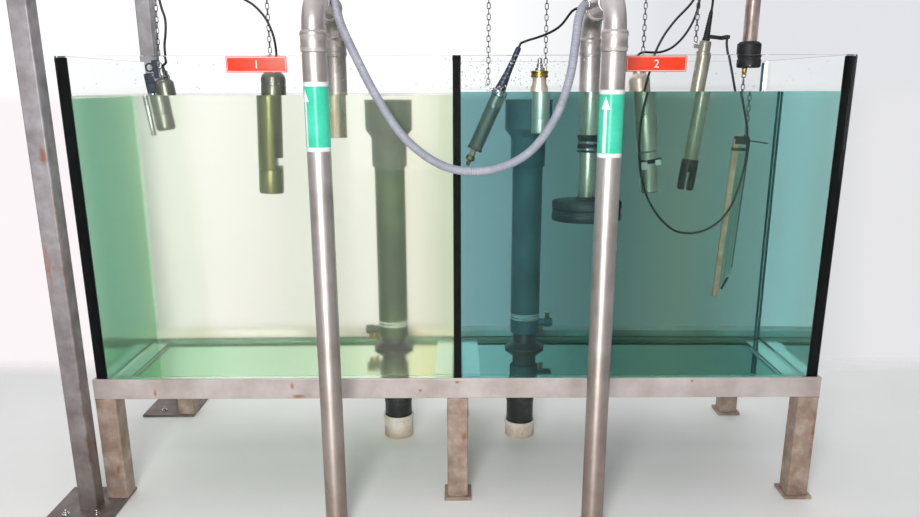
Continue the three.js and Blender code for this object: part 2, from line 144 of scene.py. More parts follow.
def worn(name, clouds, cloud_mm, grain_mm, grain=(1, 1, 1), roughness=(0.35, 0.6), bump=0.1,
         mark=None, mark_run=(1, 1, 1), foot=None, rust=(), **values):
    """Cloudy colour, a grain that is drawn out along `grain`, and marks such as rust or lime.
    `mark` is their colour, the size of the spots in mm and the share that they cover.
    `foot` is the colour that the surface takes near the floor, and how high it reaches in mm.
    `rust` lists single rust runs as (x, y, z, half width, how many times longer than wide)."""
    material, tree, shader, place = start_material(name, **values)
    cloud = add_node(tree, "TexNoise", {
        "Vector": place, "Scale": 1000 / cloud_mm, "Detail": 5, "Roughness": 0.62}).outputs["Fac"]
    tone = add_node(tree, "ValToRGB", {"Fac": cloud}, stops=clouds).outputs["Color"]
    along = add_node(tree, "Mapping", {"Vector": place, "Scale": grain}).outputs["Vector"]
    fine = add_node(tree, "TexNoise", {
        "Vector": along, "Scale": 1000 / grain_mm, "Detail": 3}).outputs["Fac"]
    rough = add_node(tree, "MapRange", {
        "Value": fine, "From Min": 0.3, "From Max": 0.7,
        "To Min": roughness[0], "To Max": roughness[1]}).outputs["Result"]
    layers = []  # each is a share and the colour that it brings
    if mark:
        code, mark_mm, mark_share = mark
        run = add_node(tree, "Mapping", {"Vector": place, "Scale": mark_run}).outputs["Vector"]
        spots = add_node(tree, "TexNoise", {
            "Vector": run, "Scale": 1000 / mark_mm, "Detail": 6, "Roughness": 0.7}).outputs["Fac"]
        share = add_node(tree, "MapRange", {
            "Value": spots, "From Min": 1 - mark_share - 0.06,
            "From Max": 1 - mark_share + 0.08}).outputs["Result"]
        rough = add_node(tree, "Math", {0: rough, 1: share}, operation="MAXIMUM").outputs[0]
        layers.append((share, code, "MIX"))
    for x, y, z, half, run in rust:
        middle = plant(x, y, z)
        local = add_node(tree, "Mapping", {
            "Vector": place, "Scale": (1, 1, 1 / run),
            "Location": (-middle.x, -middle.y, -middle.z / run)}).outputs["Vector"]
        away = add_node(tree, "VectorMath", {0: local}, operation="LENGTH").outputs["Value"]
        ragged = add_node(tree, "MapRange", {
            "Value": cloud, "From Min": 0.3, "From Max": 0.7,
            "To Min": -half / 1600, "To Max": half / 1600}).outputs["Result"]
        reach = add_node(tree, "Math", {0: away, 1: ragged}, operation="ADD").outputs[0]
        share = add_node(tree, "MapRange", {
            "Value": reach, "From Min": half / 1000, "From Max": half / 4000,
            "To Max": RUST_SHARE}).outputs["Result"]
        layers.append((share, RUST, "MIX"))
    if foot:
        height = add_node(tree, "SeparateXYZ", {"Vector": place}).outputs["Z"]
        share = add_node(tree, "MapRange", {
            "Value": height, "From Min": foot[1] / 1000, "From Max": 0,
            "To Max": FOOT_SHARE}).outputs["Result"]
        layers.append((share, foot[0], "MULTIPLY"))
    for share, code, blend in layers:
        tone = add_node(tree, "Mix", {"Factor": share, 6: tone, 7: colour(code)},
                        data_type="RGBA", blend_type=blend).outputs[2]
    relief = add_node(tree, "Bump", {"Height": fine, "Strength": bump, "Distance": 0.0006})
    tree.links.new(tone, shader.inputs["Base Color"])
    tree.links.new(rough, shader.inputs["Roughness"])
    tree.links.new(relief.outputs["Normal"], shader.inputs["Normal"])
    return material


# %% [markdown]
# ## The metals
# The stand is square tube of stainless steel with its mill finish: satin, a little brown from
# the plant's iron, and stained under each weld. Its legs are darker, and so is the gantry, which
# carries long rust runs. The risers were drawn as tube, so their grain runs upwards. The probes
# were turned on a lathe, so theirs runs round, and they wear a thin film of lime. The thick one
# is olive below the water line. Below the water line the pipes, and the two probes in the
# outflow, take steel that is painted brighter, which stands in for the light that the water
# takes away.

# %% Metals
UPWARDS = {"grain": (1, 1, 0.04), "mark_run": (1, 1, 0.3)}
LATHED = {"grain": (0.05, 0.05, 1), "mark_run": (1, 1, 0.3), "bump": 0.14}
stand_steel = worn(
    "mill_finish_stainless", [(0.3, "#AE9F99"), (0.5, "#C1B5B1"), (0.72, "#D3CBC9")], 140, 3,
    grain=(0.06, 1, 1), roughness=(0.36, 0.58), bump=0.12, mark=("#A87448", 70, 0.28),
    Metallic=0.35,
    rust=[(-563, 0, 430, 9, 2), (-545, 0, 394, 20, 0.4), (-1031, 0, 408, 7, 2),
          (-128, 0, 414, 7, 1), (-2, 0, 444, 11, 0.6), (798, 0, 446, 8, 1)])
leg_steel = worn(
    "mottled_stainless_legs", [(0.3, "#8A7464"), (0.5, "#A69080"), (0.72, "#C2B0A2")], 60, 4,
    grain=(1, 1, 0.08), roughness=(0.4, 0.66), bump=0.16, mark=("#945A32", 45, 0.31),
    mark_run=(1, 1, 0.4), Metallic=0.35,
    rust=[(37, 2, 300, 5, 18), (22, 0, 240, 12, 1.4), (1232, 2, 260, 5, 20), (-1190, 0, 120, 9, 3)])
gantry_steel = worn(
    "rust_streaked_gantry_steel", [(0.3, "#8A8284"), (0.52, "#A8A2A5"), (0.75, "#C4C0C3")], 90, 5,
    grain=(1, 1, 0.1), roughness=(0.4, 0.65), bump=0.14, mark=("#B5622B", 60, 0.31),
    mark_run=(1, 1, 0.22), foot=("#95836F", 1100), Metallic=0.45,
    rust=[(-1254, -83, 1215, 11, 3), (-1239, -83, 900, 5, 60), (-1239, -83, 330, 6, 50)])
pipe_steel = worn(
    "drawn_stainless_pipe", [(0.3, "#B5AAA5"), (0.5, "#CFC6C2"), (0.75, "#E2DEDC")], 170, 3,
    roughness=(0.32, 0.48), bump=0.06, mark=("#8C7B6C", 80, 0.3), foot=("#A8907C", 1250),
    Metallic=0.8, **UPWARDS)
# Painted light: a paler, warmer copy of the pipe steel for what hangs under the water.
brightened_wet_steel = worn(
    "pipe_steel_painted_brighter_under_water", [(0.35, "#DCCEBA"), (0.7, "#F2E8D8")], 200, 2,
    roughness=(0.26, 0.36), bump=0.03, mark=("#A3977A", 80, 0.28), Metallic=0.8, **UPWARDS)
probe_steel = worn(
    "limed_probe_steel", [(0.35, "#9C9788"), (0.7, "#BEBAAC")], 240, 4, roughness=(0.26, 0.36),
    bump=0.02, mark=("#97907A", 60, 0.27), Metallic=0.5, **UPWARDS)
olive_steel = worn(
    "probe_steel_with_olive_film", [(0.35, "#66693E"), (0.7, "#85865A")], 240, 4,
    roughness=(0.28, 0.36), bump=0.02, mark=("#54562E", 60, 0.3), Metallic=0.8, **UPWARDS)
# Painted light: near-white for the probes in the outflow, brightened to make up for the light that
# the water takes away.
brightened_turned_steel = worn(
    "turned_probe_steel_painted_brighter", [(0.35, "#DCCEBC"), (0.7, "#F6EADA")], 240, 0.8, roughness=(0.36, 0.45),
    mark=("#A0967E", 60, 0.27), Metallic=0.8, **LATHED)
tarnished_steel = worn(
    "tarnished_probe_steel", [(0.35, "#6E7268"), (0.7, "#96988A")], 240, 0.8,
    roughness=(0.27, 0.35), mark=("#565A4A", 60, 0.27), Metallic=0.75, **LATHED)
pole_steel = worn(
    "warm_pole_steel", [(0.3, "#9D8A84"), (0.52, "#BFAEA8"), (0.75, "#DBCFCA")], 60, 3,
    grain=(1, 1, 0.06), roughness=(0.3, 0.46), bump=0.08, mark=("#8C6E5C", 40, 0.3),
    mark_run=(1, 1, 0.3), Metallic=0.8)
bright_steel = worn(  # almost a mirror, with fine upright scratches
    "polished_steel", [(0.35, "#B9BABA"), (0.7, "#DCDCDA")], 30, 2, grain=(1, 1, 0.1),
    roughness=(0.12, 0.28), bump=0.05, Metallic=1.0)
chain_zinc = worn(  # dull dark zinc that is worn bright in places
    "zinc_plated_chain", [(0.3, "#4C4B4E"), (0.55, "#78777A"), (0.75, "#B0B0B2")], 25, 2,
    roughness=(0.28, 0.5), bump=0.1, mark=("#8C6A4C", 20, 0.3), Metallic=0.9)
brass = worn(  # warm and shiny, a little cloudy
    "brass_collar", [(0.35, "#9C7A3C"), (0.7, "#D0AC62")], 20, 2, roughness=(0.24, 0.42),
    bump=0.06, Metallic=1.0)
copper = worn(  # a dull reddish shine
    "copper_ring", [(0.35, "#8A5A38"), (0.7, "#C98B5C")], 16, 2, roughness=(0.28, 0.45), bump=0.06,
    Metallic=1.0)

# %% [markdown]
# ## The plastics and rubbers
# Overflow pipes and fittings are moulded PVC with a soft film of algae where water stands on
# them: green-grey in the cloudy inflow, slate in the clear outflow. The floor sockets were white
# and are brown at the foot. The hose is soft PVC round a spiral, a little darker in its grooves,
# and the cable jackets are smooth black PVC.

# %% Plastics and rubbers
dark_pvc = worn(
    "algae_green_pvc", [(0.3, "#2C3F28"), (0.52, "#3A5034"), (0.75, "#4F6845")], 160, 3,
    grain=(1, 1, 0.4), roughness=(0.4, 0.6), bump=0.06, mark=("#62744A", 90, 0.3),
    mark_run=(1, 1, 0.3))
slate_pvc = worn(
    "moulded_slate_pvc", [(0.3, "#2C5258"), (0.55, "#3C696F"), (0.75, "#528088")], 160, 3,
    roughness=(0.42, 0.6), bump=0.06, mark=("#54706A", 90, 0.3), mark_run=(1, 1, 0.3))
diffuser_pvc = worn(
    "moulded_charcoal_pvc", [(0.3, "#0E1C1E"), (0.7, "#1B2E30")], 60, 2, roughness=(0.42, 0.62),
    bump=0.08, mark=("#30443F", 45, 0.28))
drain_pvc = worn(
    "moulded_black_pvc_drain", [(0.3, "#1F2022"), (0.55, "#2E2F31"), (0.75, "#4A4A4C")], 50, 2,
    roughness=(0.3, 0.5), bump=0.1, mark=("#6B655E", 35, 0.3))
white_pvc = worn(
    "stained_white_pvc", [(0.3, "#D9C8B4"), (0.5, "#EDE2D4"), (0.72, "#FAF5EE")], 45, 2,
    roughness=(0.35, 0.6), bump=0.12, mark=("#8A6E50", 30, 0.32), mark_run=(1, 1, 0.6),
    foot=("#CDB89C", 55))
black_rubber = worn(  # matt, with a grey bloom
    "moulded_black_rubber", [(0.35, "#141516"), (0.7, "#27292A")], 25, 2, roughness=(0.5, 0.72),
    bump=0.14, mark=("#4C5048", 24, 0.27))
silicone = worn(  # nearly black, and it hardly shines
    "black_silicone", [(0.35, "#040506"), (0.7, "#0B0D0E")], 18, 3, roughness=(0.45, 0.6),
    bump=0.1, mark=("#1C2422", 20, 0.24), Specular_IOR_Level=0.05)
cable_black = worn(
    "black_cable_jacket", [(0.35, "#0E0F10"), (0.7, "#1D1E20")], 30, 2, roughness=(0.3, 0.48),
    bump=0.08, mark=("#4A4C4A", 26, 0.26))
hose_grey = worn(
    "grey_spiral_hose", [(0.3, "#8C8E9B"), (0.5, "#9FA1AE"), (0.72, "#B2B4BF")], 60, 3,
    roughness=(0.38, 0.54), bump=0.06, mark=("#7C7568", 40, 0.25))
# A darker grey for the grooves between the ribs.
hose_groove = worn(
    "hose_grooves_darker", [(0.35, "#8B8E98"), (0.7, "#A2A5AF")], 40, 3, roughness=(0.45, 0.6),
    bump=0.05)
navy_plastic = worn(  # a soft shine with pale scuffs
    "navy_moulded_holder", [(0.35, "#151F2C"), (0.7, "#24344A")], 20, 2, roughness=(0.35, 0.55),
    bump=0.1, mark=("#5A6168", 18, 0.28))
beige_plastic = worn(  # warm beige with olive stains that run down
    "beige_polymer_bar", [(0.3, "#A8826C"), (0.5, "#C69E88"), (0.72, "#DCBAA6")], 45, 3,
    grain=(1, 1, 0.1), roughness=(0.4, 0.62), bump=0.12, mark=("#7D7052", 35, 0.32),
    mark_run=(1, 1, 0.4))
pale_plastic = worn(  # off-white and a little dirty
    "pale_moulded_block", [(0.35, "#CFCFC4"), (0.7, "#EDEDE6")], 16, 2, roughness=(0.35, 0.55),
    bump=0.08, mark=("#9B9A86", 14, 0.28))

# %% [markdown]
# ## Printed and painted finishes
# The signs are red enamel plates with a white line, and the pipe labels are green vinyl film
# with a white arrow that gives the direction of flow.

# %% Printed finishes
sign_red = worn(
    "red_enamel", [(0.35, "#E83816"), (0.7, "#F2441C")], 50, 2, roughness=(0.3, 0.45), bump=0.04,
    mark=("#C23A22", 14, 0.22))
sign_white = worn(
    "white_enamel", [(0.35, "#E9E6E0"), (0.7, "#FBFAF7")], 30, 2, roughness=(0.25, 0.4), bump=0.04)
label_green = worn(
    "green_vinyl_film", [(0.35, "#34C6A0"), (0.7, "#52DAB8")], 60, 2, roughness=(0.16, 0.26),
    bump=0.05, mark=("#0E9270", 22, 0.24))
label_white = worn(
    "white_vinyl_film", [(0.35, "#DDDEDA"), (0.7, "#F7F7F4")], 40, 2, roughness=(0.24, 0.4),
    bump=0.05, mark=("#B9B7AC", 18, 0.26))

# %% [markdown]
# ## Glass and water
# Both are clear bodies that bend light, so both are true glass shaders with a volume that takes
# some colour over the depth. The panes are 24 mm float glass, faintly green. The inflow is
# cloudy and yellow-green, the outflow clear and teal. From left to right each water is tinted
# unevenly, which is painted light and shade: its paler and darker bands stand in for the brighter
# and darker parts of the hall that are seen through it. Thin films lie on the panes: algae at the
# left, lime at the right, silt on the floor, and milky silt at the inflow's back, which blurs
# what stands behind it. Lamps have to reach what hangs in the water, so a shadow ray passes
# straight through.

# %% Clear materials
WHITE = "#FFFFFF"
MIRRORED = colour("#3C3C3C")  # less mirror than plain glass, for the films and dirt on it
WAVE = 0.06  # how far the edge between two tints wavers, in metres


def clear(name, ior, tint=WHITE, depth_tint=WHITE, density=0, film_mm=30, roughness=(0, 0.02),
          transmission=1.0, across=None, axis="X"):
    """A clear body: tint on its face, depth_tint over its depth, and a film that dulls it. `across`
    gives the tint of the face along an axis instead, as stops of (place in mm, colour)."""
    material, tree, shader, place = start_material(
        name, IOR=ior, Base_Color=colour(tint), Transmission_Weight=transmission,
        Specular_Tint=MIRRORED)
    film = add_node(tree, "TexNoise", {"Vector": place, "Scale": 1000 / film_mm, "Detail": 4})
    dull = add_node(tree, "MapRange", {
        "Value": film.outputs["Fac"], "From Min": 0.5, "From Max": 0.75,
        "To Min": roughness[0], "To Max": roughness[1]})
    tree.links.new(dull.outputs["Result"], shader.inputs["Roughness"])
    if across:
        upwards = add_node(tree, "Mapping", {"Vector": place, "Scale": (1, 1, 0.15)}).outputs[0]
        wave = add_node(tree, "TexNoise", {"Vector": upwards, "Scale": 6, "Detail": 3}).outputs["Fac"]
        drift = add_node(tree, "MapRange", {"Value": wave, "To Min": -WAVE, "To Max": WAVE})
        run = add_node(tree, "SeparateXYZ", {"Vector": place}).outputs[axis]
        moved = add_node(tree, "Math", {0: run, 1: drift.outputs["Result"]}, operation="ADD")
        first, last = across[0][0], across[-1][0]
        start, end = (getattr(plant(mm, mm, 0), axis.lower()) for mm in (first, last))
        share = add_node(tree, "MapRange", {
            "Value": moved.outputs[0], "From Min": start, "From Max": end}).outputs["Result"]
        ramp = add_node(tree, "ValToRGB", {"Fac": share}, stops=[
            ((mm - first) / (last - first), code) for mm, code in across])
        tree.links.new(ramp.outputs["Color"], shader.inputs["Base Color"])
    both = add_node(tree, "MixShader", {
        "Fac": add_node(tree, "LightPath").outputs["Is Shadow Ray"], 1: shader.outputs[0],
        2: add_node(tree, "BsdfTransparent").outputs[0]})
    depth = add_node(tree, "VolumeAbsorption", {"Color": colour(depth_tint), "Density": density})
    out = tree.nodes["Material Output"]
    tree.links.new(both.outputs[0], out.inputs["Surface"])
    tree.links.new(depth.outputs[0], out.inputs["Volume"])
    return material


float_glass = clear("float_glass", 1.5, WHITE, "#C8F2DF", 1.6, film_mm=60)
# Green under the inflow. Under the outflow the stops turn darker, which is painted shade.
floor_glass_silt_and_painted_shade = clear(
    "float_glass_floor_with_silt_and_painted_shade", 1.5, WHITE, "#C8F2DF", 1.6, film_mm=60,
    across=[(-1200, "#A4C4AE"), (-400, "#B0C9BA"), (-30, "#B0C7BA"), (30, "#6A827A"),
            (1200, "#7E9A90")])
sunk_glass = clear("float_glass_under_water", 1.13, "#F4FBF8", "#8FD8C0", 2.5, film_mm=60)
back_strip_glass = clear("float_glass_strip_at_the_back", 1.13, "#7CAE90", "#8FD8C0", 2.5,
                         film_mm=60)
clear_silicone = clear("clear_silicone", 1.4, "#E4F2EA", "#9CC8B4", 6.0, film_mm=12,
                       roughness=(0.25, 0.4), transmission=0.8)
# Painted light and shade: the stops across X make the inflow paler where the hall behind it is bright
# and darker where it is dark.
inflow_water = clear(
    "cloudy_inflow_water_painted_light_and_shade", 1.333, "#FDFCF0", "#F2F8EC", 0.8, film_mm=300,
    roughness=(0.12, 0.2), transmission=0.96, across=[
        (-1200, "#E4F4E6"), (-1030, "#E6F0DA"), (-980, "#FFFFF8"), (-760, "#FFFDF8"),
        (-620, "#F0F2E8"), (-480, "#F0F2E6"), (-330, "#FFFFF4"), (-150, "#FDFAEA"),
        (-60, "#E6ECD6"), (0, "#DCE6CC")])
# Painted light and shade: the outflow's stops across X follow the brighter and darker parts of the
# hall behind it.
outflow_water = clear(
    "clear_outflow_water_painted_light_and_shade", 1.333, "#EEF6F4", "#30B4AE", 1.5, film_mm=300, transmission=0.98,
    across=[(0, "#D4F0F6"), (180, "#CDEEF4"), (330, "#A8CACC"), (560, "#A6C2BA"),
            (850, "#D8E6D2"), (1020, "#A4D2D0"), (1120, "#D2F2F2"), (1200, WHITE)])
left_film = clear(
    "algae_film_on_left_pane", 1.01, axis="Y",
    across=[(40, "#CAE6DA"), (200, "#BADFD3"), (450, "#C4E3D8"), (690, "#D4ECDA")])
right_film = clear("lime_film_on_right_pane", 1.01)
floor_film = clear(
    "silt_film_on_floor_pane", 1.01,
    across=[(-1130, "#D4ECDA"), (-700, "#DEEEE0"), (-400, "#E8F2E6"), (-200, "#F0F3E4"),
            (-80, "#F2F2DC"), (80, "#DCEAE6"), (500, "#C6DAD4"), (1000, "#B4CEC6"),
            (1130, "#BED6D0")])
milky_film = clear("silt_film_on_back_pane", 1.333, film_mm=200, roughness=(0.5, 0.62))
acrylic = clear("clear_acrylic_blade", 1.12, "#E6ECE0")
drop_water = clear("drops_on_glass", 1.333, WHITE, "#EAF6F4", 1.0, film_mm=20)

# %% [markdown]
# ## Cords
# The hose and the five cables are made first, because their room decides what the camera sees.
# Each one follows the route of the drawing on one smooth line. The line is worked out here, as
# the drawing's own cords are, so that the dressed cords lie where the plain ones do.

# %% Route helpers


def through(route):
    """Closely spaced points on the smooth line through a route's points, 10 to each stretch."""
    stops = [Vector(p) for p in route]
    stops = [2 * stops[0] - stops[1], *stops, 2 * stops[-1] - stops[-2]]
    line = []
    for a, b, c, d in zip(stops, stops[1:], stops[2:], stops[3:]):
        ab, bc, cd = ((q - p).length ** 0.5 for p, q in ((a, b), (b, c), (c, d)))
        leave = ((b - a) / ab - (c - a) / (ab + bc) + (c - b) / bc) * bc
        arrive = ((c - b) / bc - (d - b) / (bc + cd) + (d - c) / cd) * bc
        for t in [step / 10 for step in range(10)]:
            line.append(b + leave * t + (3 * (c - b) - 2 * leave - arrive) * t ** 2
                        + (2 * (b - c) + leave + arrive) * t ** 3)
    return line + [stops[-2]]


def length_of(line):
    return sum((b - a).length for a, b in zip(line, line[1:]))


def evenly(line, pitch):
    """The same line with its points a pitch apart."""
    spots, left = [line[0]], pitch
    for a, b in zip(line, line[1:]):
        run, gone = (b - a).length, 0
        while run - gone >= left:
            gone += left
            spots.append(a.lerp(b, gone / run))
            left = pitch
        left -= run - gone
    return spots


def drawn(name, line, radius, swell=None):
    """A round line as a curve of one open spline. swell gives each point its share of the radius."""
    curve = bpy.data.curves.new(name, "CURVE")
    curve.dimensions = "3D"
    curve.bevel_depth = radius
    curve.bevel_resolution = 4
    curve.use_fill_caps = True
    spline = curve.splines.new("POLY")
    spline.points.add(len(line) - 1)
    for i, (point, spot) in enumerate(zip(spline.points, line)):
        point.co = (*spot, 1)
        point.radius = swell[i] if swell else 1
    thing = bpy.data.objects.new(name, curve)
    scene.collection.objects.link(thing)
    return thing


def deselect():
    bpy.ops.object.select_all(action="DESELECT")


def alone(thing):
    """Selects one thing and nothing else."""
    deselect()
    thing.select_set(True)
    bpy.context.view_layer.objects.active = thing


def as_mesh(thing):
    alone(thing)
    bpy.ops.object.convert(target="MESH")
    bpy.ops.object.shade_smooth()


def two_tone(thing, first, second, picks_second):
    """Gives a piece two materials, the second one on the faces that a test picks."""
    thing.data.materials.clear()
    thing.data.materials.append(first)
    thing.data.materials.append(second)
    for face in thing.data.polygons:
        face.material_index = int(picks_second(face.center))


# %% [markdown]
# The hose is held in a collar under the front rail, leans on the left crossover, sags in front
# of the tank and ends on a slanting stub of the right crossover. Its ribs are what tells it from
# a smooth tube, so its radius swells once each 8 mm, and the grooves between take a darker grey.

# %% Hose
HOSE_ROUTE = [
    (-370, -60, 2004.7), (-370, -60, 1960), (-370, -60, 1880), (-369.5, -60, 1810),
    (-367, -60, 1755), (-362, -60, 1705), (-355.57, -60, 1657.68), (-342, -60, 1600),
    (-308, -60, 1520), (-240, -60, 1385), (-150, -60, 1255), (-30, -60, 1175), (100, -60, 1166),
    (215, -60, 1215), (297, -60, 1320), (338, -60, 1440), (352, -60, 1545), (359, -48, 1602),
    (374, -16, 1639), (389, 14, 1652), (399.85, 32, 1652),
]
HOSE_RADIUS, RIB_PITCH, RIB_SHAPE = 0.0135, 0.008, (0.93, 0.965, 1, 0.965)
hose_line = through([plant(*p) for p in HOSE_ROUTE])
rib_line = evenly(hose_line, RIB_PITCH / len(RIB_SHAPE))
rib_swell = [RIB_SHAPE[i % len(RIB_SHAPE)] for i in range(len(rib_line))]
hose = drawn("spiral_hose", rib_line, HOSE_RADIUS, rib_swell)
as_mesh(hose)
nearest = KDTree(len(rib_line))
for i, spot in enumerate(rib_line):
    nearest.insert(spot, i)
nearest.balance()
two_tone(hose, hose_grey, hose_groove, lambda at: nearest.find(at)[1] % len(RIB_SHAPE) == 0)
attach(hose, "root")
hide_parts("hose")
print("hose:", round(length_of(hose_line), 3), "m,", len(hose.data.polygons), "faces")

# %% [markdown]
# Each probe leans a little, from the point where it hangs towards its foot. Its cable leaves
# along the same lean, so the first two points of each cable come from the probe itself.

# %% Cables
HANG_Y = 300
PROBES = {
    1: ((-1005, 1440), (-984, 1275)), 2: ((-628, 1453), (-642, 1059)),
    3: ((203, 1521), (59, 1204)), 4: ((284, 1425), (284, 1259)), 5: ((624, 1456), (669, 1056)),
    6: ((844, 1528), (802, 1169)), 7: ((973, 1252), (943, 684)),
}
LEAN = {n: math.atan2(a[0] - b[0], a[1] - b[1]) for n, (a, b) in PROBES.items()}


def on_probe(number, x, z):
    """Where the point (x, z) of a leaning probe lies in the drawing."""
    (top_x, top_z), lean = PROBES[number][0], LEAN[number]
    return (top_x + x * math.cos(lean) + z * math.sin(lean), HANG_Y,
            top_z - x * math.sin(lean) + z * math.cos(lean))


def cable_exit(number, x, z):
    return [on_probe(number, x, z + 0.3), on_probe(number, x, z + 14)]


arm_x, _, arm_z = on_probe(6, 51, 44 - 0.3 - 4 * math.sin(LEAN[6]))
CABLE_ROUTES = {
    "cable_1": cable_exit(1, 10, 30) + [
        (-988, 294, 1495), (-989, 289, 1520), (-987, 286, 1552), (-980, 284, 1585),
        (-976, 284, 1616), (-977, 284, 1642), (-984, 284, 1668), (-990, 284, 1705),
        (-992, 284, 1750), (-988, 285, 1810), (-981, 287, 1880), (-975, 289, 1960),
        (-974, 290, 2039.7)],
    "cable_2": cable_exit(2, 11, 62) + [
        (-615, 291, 1560), (-618, 286, 1582), (-625, 284, 1605), (-636, 284, 1630),
        (-651, 284, 1652), (-679, 284, 1680), (-713, 284, 1700), (-748, 285, 1722),
        (-782, 286, 1752), (-812, 287, 1795), (-834, 288, 1850), (-846, 289, 1920),
        (-850, 290, 1985), (-850, 290, 2039.7)],
    "cable_3": cable_exit(3, 0, 24) + [
        (228, 296, 1560), (245, 290, 1566), (264, 281, 1571), (284, 268, 1577),
        (303, 253, 1584), (320, 235, 1592), (334, 215, 1601), (345, 194, 1612),
        (353, 172, 1624), (360, 150, 1636), (368, 133, 1646), (382, 119, 1652),
        (401.7, 119, 1652)],
    "cable_5": cable_exit(5, -9, 22) + [
        (613, 301.5, 1502), (621, 306.5, 1516), (638, 314.5, 1526), (674, 318, 1526),
        (704, 320, 1528), (738, 321, 1541), (772, 322, 1571), (800, 323.5, 1613),
        (818, 324, 1660), (825, 323.5, 1712), (826, 322, 1780), (824, 320, 1860),
        (822, 318, 1950), (821, 318, 2039.7)],
    "cable_loop": cable_exit(6, 0, 134) + [
        (858, 291, 1702), (840, 270, 1724), (815, 250, 1724), (790, 238, 1704),
        (766, 235, 1671), (723, 235, 1625), (687, 235, 1575), (661, 235, 1518),
        (647, 235, 1467), (630, 235, 1393), (615, 235, 1310), (613, 235, 1215),
        (624, 235, 1124), (645, 235, 1059), (675, 235, 1004), (711, 235, 962),
        (752, 235, 932), (800, 235, 923), (851, 235, 932), (904, 235, 966),
        (938, 235, 1017), (959, 235, 1082), (971, 235, 1150), (975, 235, 1223),
        (966, 235, 1292), (951, 235, 1350), (937, 235, 1400), (921, 235, 1460),
        (906, 235, 1515), (arm_x, 239, arm_z - 14), (arm_x, 239, arm_z)],
}

for name, route in CABLE_ROUTES.items():
    line = through([plant(*p) for p in route])
    cable = drawn("black_" + name, line, 0.004)
    cable.data.materials.append(cable_black)
    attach(cable, "root")
    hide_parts(name)
    print(name, round(length_of(line), 3), "m")

# %% [markdown]
# ## Modelling helpers
# Most of the plant is either turned or cut from bar, so two helpers start nearly every piece.
# A turned piece begins as a circle that is extruded ring by ring, as one would by hand, and a
# bar begins as a cube whose edges are bevelled. The last ones turn a piece, join several, and
# put the result in its place with its finish.

# %% Modelling helpers


def modified(thing, kind, **settings):
    """Adds a modifier, sets it and applies it."""
    alone(thing)
    modifier = thing.modifiers.new(kind.lower(), kind)
    for name, value in settings.items():
        setattr(modifier, name, value)
    bpy.ops.object.modifier_apply(modifier=modifier.name)
    return thing


def turned(rings, sides=48, x=0, y=0, edge=0.8):
    """Extrudes a circle up through rings of (radius, height) in millimetres, and rounds its sharp
    edges a little, because no real edge is a knife's."""
    deselect()
    radius, height = rings[0]
    bpy.ops.mesh.primitive_circle_add(
        vertices=sides, radius=radius / 1000, fill_type="NGON",
        location=Vector((x, y, height)) / 1000)
    bpy.ops.object.transform_apply()
    bpy.ops.object.mode_set(mode="EDIT")
    for (below, low), (above, high) in zip(rings, rings[1:]):
        bpy.ops.mesh.extrude_region_move(
            TRANSFORM_OT_translate={"value": (0, 0, (high - low) / 1000)})
        share = above / below
        bpy.ops.transform.resize(
            value=(share, share, 1), center_override=Vector((x, y, high)) / 1000)
    bpy.ops.mesh.select_all(action="SELECT")
    bpy.ops.mesh.normals_make_consistent(inside=False)
    bpy.ops.object.mode_set(mode="OBJECT")
    thing = bpy.context.object
    if edge:
        modified(thing, "BEVEL", width=edge / 1000, segments=2, angle_limit=math.radians(32))
    bpy.ops.object.shade_smooth_by_angle(angle=math.radians(38))
    return thing


def bar(x0, x1, y0, y1, z0, z1, edge=1.5, flat=False):
    """A bevelled bar between two corners in millimetres. Its large faces are kept flat by weighing
    normals by area. Clear bodies aren't smoothed at all, which would bend what is seen in them."""
    deselect()
    low, high = Vector((x0, y0, z0)) / 1000, Vector((x1, y1, z1)) / 1000
    bpy.ops.mesh.primitive_cube_add(size=1, location=(low + high) / 2, scale=high - low)
    bpy.ops.object.transform_apply()
    bpy.ops.object.mode_set(mode="EDIT")
    bpy.ops.mesh.bevel(offset=edge / 1000, segments=3, affect="EDGES")
    bpy.ops.object.mode_set(mode="OBJECT")
    thing = bpy.context.object
    if flat:
        return thing
    bpy.ops.object.shade_smooth()
    return modified(thing, "WEIGHTED_NORMAL", keep_sharp=False)


def turn(thing, x=0, y=0, z=0, to=(0, 0, 0)):
    """Turns a thing about the origin, in degrees, and then moves it by millimetres."""
    alone(thing)
    thing.rotation_euler = [math.radians(a) for a in (x, y, z)]
    thing.location = Vector(to) / 1000
    bpy.ops.object.transform_apply()
    return thing


def joined(*things):
    deselect()
    for thing in things:
        thing.select_set(True)
    bpy.context.view_layer.objects.active = things[0]
    if len(things) > 1:
        bpy.ops.object.join()
    return things[0]


def torus(radius, wire, x=0, y=0, z=0, sides=24, turn_by=(0, 0, 0)):
    """A round ring of wire, lying flat unless it is turned, by degrees."""
    deselect()
    bpy.ops.mesh.primitive_torus_add(
        major_radius=radius / 1000, minor_radius=wire / 1000, major_segments=sides,
        minor_segments=10, rotation=[math.radians(a) for a in turn_by],
        location=Vector((x, y, z)) / 1000)
    bpy.ops.object.transform_apply()
    bpy.ops.object.shade_smooth()
    return bpy.context.object


def settle(thing, name, material, nodes=(), to=(0, 0, 0), lean=0):
    """Leans a finished piece, moves it to its place in the plant, and gives it its finish."""
    alone(thing)
    thing.location = plant(*to)
    thing.rotation_euler = (0, lean, 0)
    bpy.ops.object.transform_apply()
    thing.name = thing.data.name = name
    print(name, len(thing.data.polygons), "faces")
    if not thing.data.materials:
        thing.data.materials.append(material)
    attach(thing, "root")
    if nodes:
        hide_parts(*nodes)
    return thing


def node_box(name):
    """The sides of a CAD node as bar takes them, in the drawing's millimetres."""
    low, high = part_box(name)
    return [v * 1000 for sides in zip(low - SHIFT, high - SHIFT) for v in sides]


